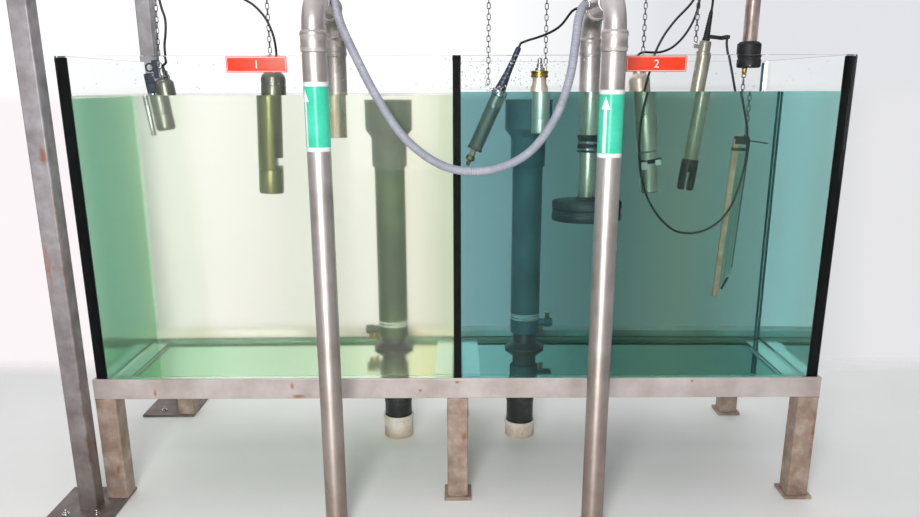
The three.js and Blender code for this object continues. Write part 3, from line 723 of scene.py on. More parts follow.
# %% [markdown]
# ## Stand and gantry
# The tank stands inside the frame: each beam has a ledge for the tank's foot and a lip that
# rises round it, and from outside it looks like square tube. Square tube is drawn with rounded
# corners, so each length is a bar with a 6 mm corner. A weld runs round each joint: a square
# ring of bead, which is a torus with only four sides. Plates on the floor carry anchor bolts
# with a washer, a nut and the end of the stud.

# %% Tube, weld and bolt


def tube(x0, x1, y0, y1, z0, z1):
    return bar(x0, x1, y0, y1, z0, z1, edge=6)


def upright(x, y, half, z0, z1):
    """A square tube that stands at (x, y)."""
    return tube(x - half, x + half, y - half, y + half, z0, z1)


def weld(x, y, z, half):
    """A bead round a square tube of that half width."""
    return turn(torus(half * math.sqrt(2) - 2, 3, sides=4), z=45, to=(x, y, z))


def bolt(x, y, z, size=8):
    """An anchor bolt that stands on z: washer, nut and stud."""
    washer = turned([(size * 1.5, 0), (size * 1.5, size * 0.3)], 24)
    nut = turned([(size * 1.05, size * 0.3), (size * 1.05, size * 1.1)], 6, edge=1)
    stud = turned([(size * 0.55, size), (size * 0.55, size * 1.9), (size * 0.35, size * 2.1)], 16)
    return turn(joined(washer, nut, stud), to=(x, y, z))


FOOT, FOOT_THICK, TUBE, BEAM_LOW, BEAM_TOP, LEDGE_TOP = 95, 12, 72, 385, 457, 404
HALF, LIP_EDGE = 1240, 3
BEAMS = {  # x0, x1, y0, y1 of the ledge, and then of each lip
    "front": ((-1239, 1239, 1, 72), (-HALF, HALF, 0, 8), (-1239.9, -1230, 2, 72),
              (1230, 1239.9, 2, 72)),
    "back": ((-1239, 1239, 660, 784), (-HALF, HALF, 727, 785), (-1239.9, -1230, 660, 783),
             (1230, 1239.9, 660, 783)),
    "left": ((-1239, -1168, 72, 660), (-HALF, -1230, 72, 660)),
    "right": ((1168, 1239, 72, 660), (1230, HALF, 72, 660)),
    "middle": ((-36, 36, 72, 660),),
}
for side, (ledge, *lips) in BEAMS.items():
    pieces = [bar(*ledge, BEAM_LOW + 0.3, LEDGE_TOP, 1.5)]
    pieces += [bar(*lip, BEAM_LOW, BEAM_TOP, LIP_EDGE) for lip in lips]
    settle(joined(*pieces), "tube_beam_" + side, stand_steel, ["beam_" + side])

for name in [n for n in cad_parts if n.startswith("leg_")]:
    x0, x1, y0, y1, z0, z1 = node_box(name)
    x, y, half = (x0 + x1) / 2, (y0 + y1) / 2, TUBE / 2
    plate = FOOT_THICK if z0 < 5 else 0
    pieces = [upright(x, y, half, z0, z1), weld(x, y, z0 + plate + 1, half),
              weld(x, y, BEAM_LOW - 1, half - 1)]
    if plate:
        pieces.append(bar(x - FOOT / 2, x + FOOT / 2, y - FOOT / 2, y + FOOT / 2, 0, plate))
    settle(joined(*pieces), "tube_" + name, leg_steel, [name])

# %% Gantry posts
POST_X, POST_HALF, PLATE_THICK, RAIL_BOTTOM = -1269, 30, 10, 2040
ANCHORS = ((-1336, -105), (-1230, -105), (-1345, 40), (-1318, 760), (-1345, 935))
for row, y, plate_y in (("front", -53, (-185, 80)), ("back", 886, (705, 970))):
    post = upright(POST_X, y, POST_HALF, 0, RAIL_BOTTOM)
    plate = bar(-1395, -1168, *plate_y, 0, PLATE_THICK, edge=2)
    bead = weld(POST_X, y, PLATE_THICK + 1, POST_HALF)
    settle(joined(post, plate, bead), "post_" + row, gantry_steel,
           ["gantry_post_" + row])
settle(joined(*[bolt(x, y, PLATE_THICK) for x, y in ANCHORS]), "anchor_bolts", bright_steel)

# %% [markdown]
# The rails end at wall plates with four screws each. Under the front rail sits the collar that
# takes the hose.

# %% Gantry rails
WALL_X, WALL_HALF, WALL_PLATE, SCREW = 1425, 80, 12, 58
hose_x, hose_y, _ = HOSE_ROUTE[0]
for name, start, y, half in (("gantry_rail_front", POST_X - POST_HALF, -53, 30),
                             ("gantry_rail_back", POST_X - POST_HALF, 886, 30),
                             ("hanging_rail", POST_X + POST_HALF, 300, 25)):
    middle = RAIL_BOTTOM + half
    pieces = [
        tube(start, WALL_X - 8, y - half, y + half, RAIL_BOTTOM, RAIL_BOTTOM + 2 * half),
        bar(WALL_X - WALL_PLATE, WALL_X, y - WALL_HALF, y + WALL_HALF, middle - WALL_HALF,
            middle + WALL_HALF, edge=2)]
    for dy in (-SCREW, SCREW):
        for dz in (-SCREW, SCREW):
            head = turned([(9, 0), (9, 6), (6, 8)], 6)
            pieces.append(turn(head, y=-90, to=(WALL_X - WALL_PLATE, y + dy, middle + dz)))
    if name == "gantry_rail_front":
        pieces.append(turned([(16, 2006), (17, 2008), (17, 2041)], 32, x=hose_x, y=hose_y))
    settle(joined(*pieces), "tube_" + name, gantry_steel, [name])
settle(tube(*node_box("gantry_rail_left")), "tube_gantry_rail_left", gantry_steel,
       ["gantry_rail_left"])

# %% [markdown]
# ## Tank
# Five panes of float glass stand on the ledges of the beams. Their edges are ground, so each pane
# is a bar with a fine bevel. The floor pane has two holes for the overflow fittings and stays as
# the drawing has it. Silicone fills the joints, black along the front, and a bead of it runs along
# each inner edge of the floor. A round strip of it caps the partition.

# %% Panes and silicone
for side in ("front", "back", "left", "right", "partition"):
    settle(bar(*node_box("glass_" + side), edge=1.2, flat=True), "pane_" + side, float_glass,
           ["glass_" + side])
floor_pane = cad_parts["glass_floor"]
floor_pane.data.materials.clear()
floor_pane.data.materials.append(floor_glass_silt_and_painted_shade)

TANK = {"left": (-1204, -12), "right": (12, 1204)}
INNER_FRONT, INNER_BACK, TANK_FLOOR = 41, 694, 428
PANE_FOOT, SEAL_TOP, PANE_HALF = 404, 1504, 1228
for row, low, material in (("front", 34.2, silicone), ("back", 694.9, clear_silicone)):
    high = low + 5.9
    columns = [bar(x0, x1, low, high, PANE_FOOT, SEAL_TOP, 1.5)
               for x0, x1 in ((-PANE_HALF, -1198), (-12.5, 12.5), (1198, PANE_HALF))]
    settle(joined(*columns), "corner_silicone_" + row, material, ["seal_" + row])
    settle(bar(-PANE_HALF, PANE_HALF, low, high, PANE_FOOT, TANK_FLOOR, 1),
           "floor_silicone_" + row, clear_silicone)


def film(place, material, *sides):
    """A film of at most a millimetre on the inside of a pane."""
    settle(bar(*sides, 0.1, flat=True), "film_on_" + place, material)


for side, x, material in (("left", -1202.6, left_film), ("right", 1201.9, right_film)):
    film("pane_" + side, material, x, x + 0.7, 36, 698, TANK_FLOOR + 3, 1380)
film("pane_back", milky_film, -1203, -13, 698.6, 699.6, TANK_FLOOR + 3, 1388)
for side, (x0, x1) in TANK.items():
    film("floor_" + side, floor_film, x0 + 69, x1 - 69, 110, 626, TANK_FLOOR + 4,
         TANK_FLOOR + 4.7)

settle(bar(1193, 1201.6, 688, 693, TANK_FLOOR + 3, 1500, 1), "corner_bead_back_right", slate_pvc)
settle(bar(-13.5, 13.5, 34.1, 700.9, 1488, 1508.6, 7), "partition_cap", silicone)
beads = []
for x0, x1 in TANK.values():
    for y in (INNER_FRONT, INNER_BACK):
        beads.append(turn(turned([(5, x0 + 2), (5, x1 - 2)], 12), y=90, to=(0, y, TANK_FLOOR + 1)))
    for x in (x0, x1):
        beads.append(turn(turned([(5, -INNER_BACK), (5, -INNER_FRONT)], 12), x=90,
                          to=(x, 0, TANK_FLOOR + 1)))
settle(joined(*beads), "silicone_beads", silicone)

# %% [markdown]
# Along the floor's edges lie glass strips, 60 mm wide, which stiffen the joint. The ones at the
# back are greener, because all of the tank's depth lies in front of them.

# %% Strips
STRIP, STRIP_THICK, STRIP_GAP = 60, 10, 7
strips, back_strips = [], []
front, back = INNER_FRONT + STRIP_GAP, INNER_BACK - STRIP_GAP
low, high = TANK_FLOOR + 2, TANK_FLOOR + 2 + STRIP_THICK
for x0, x1 in TANK.values():
    start, end = x0 + STRIP_GAP, x1 - STRIP_GAP
    between = (front + STRIP + 3, back - STRIP - 3)
    for sides in ((start, start + STRIP, *between), (end - STRIP, end, *between),
                  (start, end, front, front + STRIP)):
        strips.append(bar(*sides, low, high, 1, flat=True))
    back_strips.append(bar(start, end, back - STRIP, back, low, high, 1, flat=True))
settle(joined(*strips), "stiffening_strips", sunk_glass)
settle(joined(*back_strips), "stiffening_strips_back", back_strip_glass)

# %% [markdown]
# ## Water
# Each compartment is filled with one closed body of water, a hair inside the glass. The inflow
# stands 9 mm lower than the outflow.

# %% Water
for name, side, level, material in (("inflow_water", "left", 1390, inflow_water),
                                    ("outflow_water", "right", 1399, outflow_water)):
    x0, x1 = TANK[side]
    settle(bar(x0 + 0.5, x1 - 0.5, 34.6, 700.4, TANK_FLOOR + 0.6, level, 1, flat=True), name,
           material)

# %% [markdown]
# ## Pipes
# Each riser stands on a round base flange with four bolts and ends in a press sleeve. From there
# the crossover bends over the tank's front edge and down into the water.

# %% Risers
RISERS = {"left": -399, "right": 442}
RISER_Y, RUN_Z, BEND, DROP_Y, PIPE_END = -187, 1652, 90, 218, 1560
for side, x in RISERS.items():
    riser = turned([(57, 0), (60, 2), (60, 10), (37, 10.5), (35, 14), (35, 1509)], 64, edge=0.6)
    pieces = [riser, torus(36, 2.4, z=12, sides=48)]
    for k in range(4):
        angle = math.radians(45 + 90 * k)
        pieces.append(bolt(48 * math.cos(angle), 48 * math.sin(angle), 9.5, size=4.5))
    settle(joined(*pieces), "steel_riser_" + side, pipe_steel, ["riser_" + side],
           to=(x, RISER_Y, 0))

# %% [markdown]
# A crossover is one bent tube. It could be spun bend by bend, but a curve with a round bevel
# follows the whole arch at once and keeps its radius. Its sleeves and unions are turned, and
# what hangs below the water line takes a paler, warmer copy of the steel. This is painted light,
# which makes up for the light that the water takes away.

# %% Crossovers
quarter = [k * math.pi / 24 for k in range(13)]
arch = [(0, RISER_Y, PIPE_END)]
arch += [(0, RISER_Y + BEND * (1 - math.cos(a)), RUN_Z - BEND + BEND * math.sin(a))
         for a in quarter]
arch += [(0, DROP_Y - BEND * (1 - math.sin(a)), RUN_Z - BEND + BEND * math.cos(a))
         for a in quarter]
arch += [(0, DROP_Y, PIPE_END)]


def press_sleeve(radius, low, high):
    """A sleeve with a raised bead near each end, where its ring is pressed on the pipe."""
    return turned([
        (radius - 2, low), (radius - 1, low + 2), (radius - 1, low + 7), (radius, low + 9),
        (radius, low + 14), (radius - 1.5, low + 17), (radius - 1.5, high - 17),
        (radius, high - 14), (radius, high - 8), (radius - 1.5, high - 5), (radius - 4, high)],
        64, edge=0.4)


WET_BELOW = 1.4  # in metres
for side, x in RISERS.items():
    run = drawn("run", [Vector(p) / 1000 for p in arch], 0.033)
    as_mesh(run)
    union = turned([
        (34, 0), (38, 1), (40, 4), (40, 10), (37, 11), (37, 13), (40, 14), (40, 20), (36, 22)], 48)
    lips = [turn(turned([(34, 0), (36, 1), (36, 7), (34, 8)], 48), x=-90, to=(0, y, RUN_Z))
            for y in (RISER_Y + BEND - 4, DROP_Y - BEND - 34)]
    pieces = [run, turn(union, x=-90, to=(0, DROP_Y - BEND - 20, RUN_Z)), *lips,
              turn(press_sleeve(38.5, 1510, 1568), to=(0, RISER_Y, 0)),
              turn(press_sleeve(36.5, 1509, 1568), to=(0, DROP_Y, 0))]
    if side == "left":
        pieces.append(turned([(34, 1516), (34, 1399), (34, 1251), (31, 1251), (31, 1500)], 64,
                             y=DROP_Y))
    else:
        pieces.append(turned([(34, 1258), (34, 1399), (34, 1516)], 64, y=DROP_Y))
        stub = turned([(9, 0), (9, 74), (9.8, 76), (9.8, 80), (8, 84)], 24)
        pieces.append(turn(turn(stub, x=90), z=-30, to=(0, 105, RUN_Z)))
    whole = joined(*pieces)
    two_tone(whole, pipe_steel, brightened_wet_steel, lambda at: at.z < WET_BELOW)
    settle(whole, "steel_crossover_" + side, pipe_steel,
           ["crossover_" + side], to=(x, 0, 0))

# %% [markdown]
# In the outflow a rubber coupling joins the drop pipe to a PVC diffuser: a flat drum that lets
# the water in without a jet. The band clamps of the coupling are bright.

# %% Coupling and diffuser
DROP = (RISERS["right"], DROP_Y, 0)
coupling = turned([
    (34, 1202), (40, 1203), (40, 1222), (38, 1226), (36, 1229), (36, 1244), (38, 1248),
    (40, 1252), (40, 1257), (35, 1258)], 64, edge=0.6)
settle(coupling, "rubber_coupling", black_rubber, ["drop_coupling"], to=DROP)
bands = []
for z, radius in ((1212, 41), (1234, 37.5)):
    bands += [turned([(radius, z - 4), (radius, z + 4)], 64),
              bar(-8, 8, -radius - 7, -radius + 1, z - 5, z + 5, 1)]
settle(joined(*bands), "coupling_bands", bright_steel, to=DROP)

drum = turned([
    (110, 972), (116, 974), (118, 978), (118, 996), (115.5, 998), (115.5, 1012), (118, 1014),
    (118, 1034), (115, 1039), (60, 1040), (40, 1044), (36, 1052), (32, 1053)], 72)
settle(drum, "pvc_diffuser", diffuser_pvc, ["diffuser"], to=DROP)
# The lower drop pipe takes the same painted-bright copy of the steel.
settle(turned([(31, 1050), (31, 1202)], 64), "lower_drop_pipe", brightened_wet_steel, to=DROP)

# %% [markdown]
# ## Overflow standpipes
# A standpipe ends in an open cup just under the water line. Its joints are solvent sockets with
# a lip, its foot is slipped over a tank fitting with a ribbed conical nut, white thread tape
# peeps out of the joint, and a small tap with brass parts sits just above it. Below the tank the
# drain ends in a white socket in the floor.

# %% Standpipes
random.seed(3)
STAND_Y, TAPE_TURNS, TAPE_TILT, RIBS = 538, 6, 2.2, 24
for side, x, away, cap, foot, tap, material in (
        ("left", -247, -1, 94, 481, 506, dark_pvc), ("right", 260, 1, 66, 494, 533, slate_pvc)):
    place = (x, STAND_Y, 0)
    pipe = turned([
        (53, foot), (55, foot + 3), (55, 1130), (61, 1131), (63, 1136), (63, 1232), (66, 1240),
        (84, 1264), (84.5, 1268), (84.5, 1362), (86, 1364), (86, 1368), (79.5, 1368),
        (79.5, 1270), (52, 1239), (52, 1180)], 72, edge=0.6)
    body = turn(turned([(15, 0), (15, 26), (18, 28), (18, 50), (14, 57)], 24),
                y=90 * away, to=(away * 49, 0, tap))
    settle(joined(pipe, body), "pvc_standpipe_" + side, material,
           ["standpipe_" + side], to=place)

    knob = turned([(9, 14), (9, 28), (6, 30), (6, 33), (9.5, 34), (9.5, 38)], 20)
    turn(knob, x=90 - 90 * away, to=(away * 86, 0, tap))
    barb = turned([(6, -44), (8, -42), (7, -36), (8, -34), (7, -28), (8, -26), (8, -12)], 20,
                  x=away * 66)
    settle(joined(knob, turn(barb, to=(0, 0, tap))), "tap_brass_" + side, brass,
           to=place)
    tape = []
    for k in range(TAPE_TURNS):
        loop = torus(55.1, 1.1, sides=48)
        tape.append(turn(loop, x=random.uniform(-TAPE_TILT, TAPE_TILT),
                         y=random.uniform(-TAPE_TILT, TAPE_TILT), to=(0, 0, tap + 18 + 4 * k)))
    settle(joined(*tape), "thread_tape_" + side, pale_plastic, to=place)

    fitting = turned([
        (55, 31), (55, 150), (57, 152), (57, 170), (55, 172), (55, 380), (64, 383), (64, 399),
        (61, 403.5), (61, 428.4), (73, 428.5), (75, 430), (75, 436), (72, 438), (57, 450),
        (52, 452), (46, 455), (45, 458), (45, foot - 1), (43, foot)], 72, edge=0.6)
    ribs = [turn(bar(73.4, 75, -3, 3, 429, 437, 0.6), z=15 * k) for k in range(RIBS)]
    settle(joined(fitting, *ribs), "pvc_tank_fitting_" + side, drain_pvc,
           ["tank_fitting_" + side], to=place)

    socket = turned([
        (60, 0), (60, cap - 18), (62, cap - 16), (63, cap - 13), (63, cap - 3), (62, cap),
        (57, cap), (56, cap - 2), (56, 31)], 64, edge=0.6)
    settle(socket, "pvc_floor_socket_" + side, white_pvc,
           ["floor_socket_" + side], to=place)

# %% [markdown]
# ## Signs and labels
# The sign plates are inset twice on their front face, and the ring between the two insets takes
# the white enamel. Each carries a plain number. Each label is a thin sleeve round its riser with
# a white band at both ends, and its arrow is a flat shape that is wrapped onto the sleeve.

# %% Signs
SIGN_WIDTH, SIGN_HEIGHT, SIGN_FOOT = 185, 47, 1458
for number, side, x in ((1, "left", -612), (2, "right", 612)):
    plate = bar(-SIGN_WIDTH / 2, SIGN_WIDTH / 2, 7, 10, SIGN_FOOT, SIGN_FOOT + SIGN_HEIGHT, 0.8)
    plate.data.materials.append(sign_red)
    plate.data.materials.append(sign_white)
    bpy.ops.object.mode_set(mode="EDIT")
    bpy.ops.mesh.select_all(action="DESELECT")
    bpy.ops.object.mode_set(mode="OBJECT")
    for face in plate.data.polygons:
        face.select = face.normal.y < -0.99 and face.area > 0.005
    bpy.ops.object.mode_set(mode="EDIT")
    bpy.ops.mesh.select_mode(type="FACE")
    for inset, material_index in ((0.002, 1), (0.0012, 0)):
        bpy.ops.mesh.inset(thickness=inset)
        plate.active_material_index = material_index
        bpy.ops.object.material_slot_assign()
    bpy.ops.object.mode_set(mode="OBJECT")
    settle(plate, "sign_plate_" + side, sign_red, ["sign_" + side], to=(x, 0, 0))

    deselect()
    bpy.ops.object.text_add()
    figure = bpy.context.object
    figure.data.body = str(number)
    figure.data.size = 0.034
    figure.data.extrude = 0.0003
    figure.data.align_x = "CENTER"
    bpy.ops.object.convert(target="MESH")
    turn(bpy.context.object, x=90, to=(0, 6.8, 1470))
    settle(bpy.context.object, "sign_figure_" + side, sign_white, to=(x, 0, 0))

# %% Labels and arrows
SLEEVE, BAND, ARROW_LIFT = 35.35, 12, 0.25


def grid(across, up, width, height, pointed=False):
    """A flat grid, sized in millimetres, which narrows to a point at its top if pointed."""
    deselect()
    bpy.ops.mesh.primitive_grid_add(x_subdivisions=across, y_subdivisions=up, size=1)
    thing = bpy.context.object
    if pointed:
        for vertex in thing.data.vertices:
            vertex.co.x *= 0.5 - vertex.co.y
    thing.scale = (width / 1000, height / 1000, 1)
    bpy.ops.object.transform_apply()
    return thing


for side, low, high, angle in (("left", 1236, 1429, -50), ("right", 1217, 1406, -38)):
    place = (RISERS[side], RISER_Y, 0)
    sleeve = turned([(SLEEVE, low), (SLEEVE, low + BAND), (SLEEVE, high - BAND), (SLEEVE, high)],
                    96, edge=0)
    two_tone(sleeve, label_green, label_white,
             lambda at: not low + BAND < at.z * 1000 < high - BAND)
    settle(sleeve, "label_film_" + side, label_green, to=place)

    shaft = turn(grid(4, 40, 10, high - low - 60), x=90, to=(0, -60, (low + high) / 2 - 16))
    head = turn(grid(16, 12, 28, 36, pointed=True), x=90, to=(0, -60, high - BAND - 24))
    core = turned([(SLEEVE + ARROW_LIFT, low), (SLEEVE + ARROW_LIFT, high)], 96, edge=0)
    arrow = modified(joined(shaft, head), "SHRINKWRAP", target=core, wrap_method="PROJECT",
                     use_project_y=True, use_positive_direction=True)
    bpy.data.objects.remove(core)
    settle(turn(arrow, z=angle), "label_arrow_" + side, label_white, to=place)

# %% [markdown]
# ## Chains
# A link is a torus whose halves are moved apart, and the next one is the same link turned by a
# quarter. An array repeats the pair along the chain, with the pitch set so that it fits exactly
# between the probe's eye and the rail. The wire is 3.2 mm. The first chain hangs aslant, by 2.6
# degrees.

# %% Chains
WIRE, LINK_HALF_WIDTH, LINK_STRETCH = 1.6, 5.4, 10
CHAIN_LEAN = {"chain_1": math.radians(2.6)}


def link():
    ring = torus(LINK_HALF_WIDTH, WIRE, sides=16, turn_by=(90, 0, 0))
    for vertex in ring.data.vertices:
        vertex.co.z += LINK_STRETCH / 2000 * (1 if vertex.co.z > 0 else -1)
    return ring


for name in [f"chain_{number}" for number in PROBES]:
    x0, x1, y0, y1, low, high = node_box(name)
    half = LINK_HALF_WIDTH + WIRE + LINK_STRETCH / 2
    pitch = 2 * (LINK_HALF_WIDTH - WIRE) + LINK_STRETCH
    count = max(3, round((high - low - 2 * half) / pitch) + 1)
    pitch = (high - low - 2 * half) / (count - 1)
    chain = joined(link(), turn(link(), z=90, to=(0, 0, pitch)))
    chain.location.z = half / 1000
    alone(chain)
    bpy.ops.object.transform_apply()
    modified(chain, "ARRAY", use_relative_offset=False, use_constant_offset=True,
             constant_offset_displace=(0, 0, 2 * pitch / 1000), count=count // 2)
    if count % 2:
        last = link()
        last.location.z = (half + (count - 1) * pitch) / 1000
        chain = joined(chain, last)
    settle(chain, "link_" + name, chain_zinc, [name],
           to=((x0 + x1) / 2, (y0 + y1) / 2, low), lean=CHAIN_LEAN.get(name, 0))
    print(name, count, "links")

# %% [markdown]
# ## Probes
# Each instrument is built upright about its own hanging point and is then leaned as one piece
# with its fittings. Their bodies are turned, as the real ones were, and slots are bitten out by a
# Boolean, which leaves their walls flat. The seven differ: two short ones, two long ones, two
# that slant, and a flat bar on its own pole.

# %% Probe helpers


def part_of(number, thing, name, material, nodes=()):
    """Leans a piece with its probe and hangs it in the tank."""
    x, z = PROBES[number][0]
    return settle(thing, f"probe_{number}_{name}", material, nodes,
                  to=(x, HANG_Y, z), lean=LEAN[number])


def eye(x, low, high):
    """A stem with an eye at its top, for the chain's last link."""
    stem = turned([(4, low), (4, high - 10)], 16, x=x)
    return joined(stem, torus(4.6, 2, x=x, z=high - 6.8, turn_by=(90, 0, 0)))


def gland(x, low, high):
    """A cable gland: a hexagon and a dome nut."""
    nut = turned([(8.5, low), (8.5, low + 8)], 6, x=x, edge=0.6)
    dome = turned([(7, low + 8), (7, high - 8), (6, high - 3), (4.4, high)], 24, x=x, edge=0.4)
    return joined(nut, dome)


def bitten(thing, cutter):
    """Cuts one thing out of another."""
    modified(thing, "BOOLEAN", object=cutter, operation="DIFFERENCE")
    bpy.data.objects.remove(cutter)
    return thing


# %% Short sensor with a slim rod
body = turned([(25, -168), (27, -167.5), (32, -160), (32, -120), (31, -119), (31, -115),
               (32, -114), (32, -14), (28, -6), (20, 0), (16, 3)], 48)
part_of(1, joined(body, eye(-8, 0, 40)), "body", tarnished_steel, nodes=["probe_1"])
part_of(1, turned([(7, -180), (9, -178), (9, 10), (7, 14), (5, 20)], 24, x=-46), "rod",
        bright_steel)
holder = joined(bar(-57, -20, -15, 15, -40, -6, 3), bar(-60, -32, -11, 11, -34, 26, 3),
                bar(-26, -8, -7, -1, 6, 66, 2.5), gland(10, 0, 30))
part_of(1, holder, "holder", navy_plastic)
part_of(1, torus(13, 3, x=-36, y=-4, z=44, turn_by=(90, 0, 0)), "hook", black_rubber)
loose = [turn(link(), y=25, z=90 * (k % 2), to=(2 + 7 * k, -9, 44 - 14 * k)) for k in range(4)]
part_of(1, joined(*loose, turned([(3.5, -14), (3.5, 14)], 16)), "loose_links", chain_zinc)

# %% Thick sensor of the inflow
body = turned([(39, -394), (42, -391), (42, -318), (41, -317), (41, -312), (42, -311),
               (42, -61), (42, -60), (42, -34), (41.2, -33), (41.2, -25), (42, -24), (42, -12),
               (38, 0), (30, 8), (24, 12), (22, 13), (22, 34), (20, 38)], 64)
body = joined(bitten(body, bar(20, 60, -60, 60, -300, -272, 1)), eye(-10, 34, 70))
part_of(2, body, "body", tarnished_steel, nodes=["probe_2"])
two_tone(body, tarnished_steel, olive_steel, lambda at: at.z < WET_BELOW)
part_of(2, gland(11, 36, 62), "gland", black_rubber)
part_of(2, turned([(22.6, 15), (23.4, 17), (23.4, 25), (22.6, 27)], 48), "ring", bright_steel)

# %% Slanting tube with a thin end piece
body = turned([(24, -338), (24, -200), (24.6, -199), (24.6, -180), (24, -179), (24, -154)], 48)
part_of(3, body, "tube", tarnished_steel, nodes=["probe_3"])
part_of(3, turned([(25, -347), (26, -345), (26, -339), (25, -337.5)], 48), "end_ring", copper)
part_of(3, turned([(7, -388), (10, -384), (10, -346), (9, -345)], 24), "stem", beige_plastic)
part_of(3, turned([(5, -405), (7, -402), (7, -388), (16, -384), (16, -372), (12, -368)], 32),
        "tip", brass)
boot = turned([(20, -132), (19, -129), (12, -70), (9.5, -20), (9.5, 16), (8, 24)], 32)
part_of(3, boot, "boot", navy_plastic)
clamp = joined(turned([(24.5, -154), (26, -152), (26, -134), (24, -130.5)], 48),
               bar(-46, -22, -6, 6, -150, -138, 1.5), eye(-46, -142, -134 + 7))
part_of(3, clamp, "collar", bright_steel)

# %% Short straight sensor
body = turned([(28, -166), (30.5, -163), (30.5, -120), (29.8, -119), (29.8, -115), (30.5, -114),
               (30.5, -14), (24, 0), (24, 20)], 56)
part_of(4, body, "body", brightened_turned_steel, nodes=["probe_4"])
part_of(4, turned([(24, 18), (30, 20), (30, 26), (28.6, 28), (28.6, 33), (30, 35), (30, 40),
                   (22, 42)], 48), "brass_collar", brass)
part_of(4, joined(turned([(16, 41), (16, 50), (11, 52), (11, 62), (8, 66), (8, 80), (5, 84)], 32),
                  eye(20, 38, 60)), "gland", bright_steel)

# %% Long sensor with a thinner lower half
body = turned([(27, -400), (30, -397), (30, -262), (36.5, -256), (36.5, -140), (35.8, -139),
               (35.8, -134), (36.5, -133), (36.5, -20), (30, -8), (20, 0), (20, 14), (18, 18)], 64)
part_of(5, joined(body, eye(20, -5, 64)), "body", brightened_turned_steel, nodes=["probe_5"])
part_of(5, turned([(8, 12), (8, 19), (5.5, 20), (5.5, 22)], 24, x=-9), "gland", black_rubber)
part_of(5, joined(bar(-30, -8, -38, -24, -318, -292, 2), bar(20, 40, -30, -8, -308, -290, 2)),
        "pale_blocks", pale_plastic)
part_of(5, joined(turned([(30.6, -300), (31.6, -298), (31.6, -288), (30.6, -286)], 48),
                  bar(26, 46, -12, -8, -290, -284, 1)), "band", black_rubber)

# %% Slanting sensor with a forked foot
body = turned([(24, -362), (24, -190), (24.7, -189), (24.7, -170), (24, -169), (24, -2),
               (20, 0), (20, 30), (18, 34)], 48)
part_of(6, body, "body", probe_steel, nodes=["probe_6"])
fork = turned([(25, -464), (27, -461), (29, -450), (29, -362), (26, -359)], 48)
part_of(6, bitten(fork, bar(-9, 9, -40, 40, -480, -402, 2)), "fork", black_rubber)
relief_rings = [(12, 34), (13, 40)]
for k in range(11):
    relief_rings += [(12 - 0.45 * k, 44 + 8 * k), (10 - 0.45 * k, 47 + 8 * k)]
relief = turned(relief_rings + [(5, 134)], 24, edge=0.5)
arm = joined(bar(8, 58, -7, 7, 44, 56, 2), bar(44, 58, -68, 0, 44, 56, 2))
part_of(6, joined(relief, arm), "relief", black_rubber)
part_of(6, joined(bar(-40, -14, -7, 7, 8, 20, 1.5), eye(-33, 16, 24 + 6)), "lug", bright_steel)

# %% Bar probe on its pole
POLE = (998, HANG_Y, 0)
pole = turned([(24, 1556), (24, 1700), (25.5, 1702), (25.5, 1716), (24, 1718), (24, 2039.7)], 48)
settle(pole, "probe_pole_tube", pole_steel, ["probe_pole"], to=POLE)
housing = turned([(34, 1474), (39.5, 1478), (39.5, 1500), (37.5, 1502), (37.5, 1508),
                  (39.5, 1510), (39.5, 1552), (30, 1560)], 48)
settle(housing, "probe_pole_housing", black_rubber, to=POLE)
hook = joined(turned([(9, 1456), (9, 1476)], 6, x=-12.6),
              torus(6.5, 2.4, x=-12.6, z=1448.5, turn_by=(90, 0, 0)))
settle(hook, "probe_pole_hook", brass, to=POLE)
part_of(7, bar(-28, -9, -9, 9, -570, -13, 2.5), "bar", beige_plastic,
        nodes=["probe_7"])
blade = bar(-8.5, 28, -5, 5, -570, -13, 1)
alone(blade)
bpy.ops.object.mode_set(mode="EDIT")
bpy.ops.mesh.select_all(action="SELECT")
bpy.ops.mesh.bisect(plane_co=(-0.006, 0, -0.55), plane_no=(0.088, 0, -0.034), use_fill=True,
                    clear_outer=True)
bpy.ops.object.mode_set(mode="OBJECT")
part_of(7, blade, "blade", acrylic)
edges = [bar(26.6, 28.4, -5.5, 5.5, -460, -20, 0.5),
         turn(bar(-24, 24, -5.5, 5.5, -4, 4, 1.5), y=-68, to=(10, 0, -519))]
edges += [bar(x, x + 0.8, -5.4, -4.8, low, -60, 0.2) for x, low in ((2, -520), (17, -484))]
part_of(7, joined(*edges), "edges", black_rubber)
clips = joined(bar(-24, 24, -14, 14, -30, -4, 3), turned([(7, -6), (7, 1)], 24, x=12),
               torus(5, 2, x=12, z=1, turn_by=(90, 0, 0)), bar(-30, 22, -12, 12, -52, -42, 2),
               turn(bar(0, 66, -1.5, 1.5, -2, 2, 0.8), y=6, to=(22, -10, -16)))
part_of(7, clips, "clips", black_rubber)

# %% [markdown]
# ## Small fittings
# Hose clamps close both ends of the hose.

# %% Clamps
top_clamp = joined(turned([(18, 2012), (18, 2022)], 48), bar(-9, 9, -26, -16, 2011, 2023, 1))
settle(top_clamp, "hose_clamp_top", bright_steel, to=(hose_x, hose_y, 0))
low_clamp = joined(turned([(14.6, 0), (14.6, 9)], 48), bar(-6, 6, 12, 21, -1, 10, 1))
turn(turn(low_clamp, x=90), z=-30, to=(391.5, 17.5, RUN_Z))
settle(low_clamp, "hose_clamp_stub", bright_steel)

# %% [markdown]
# ## Splashes
# Drops sit on the front pane above the water line, thickest near the partition. A drop is a
# small ball pressed flat against the glass, of 80 faces, because there are hundreds.

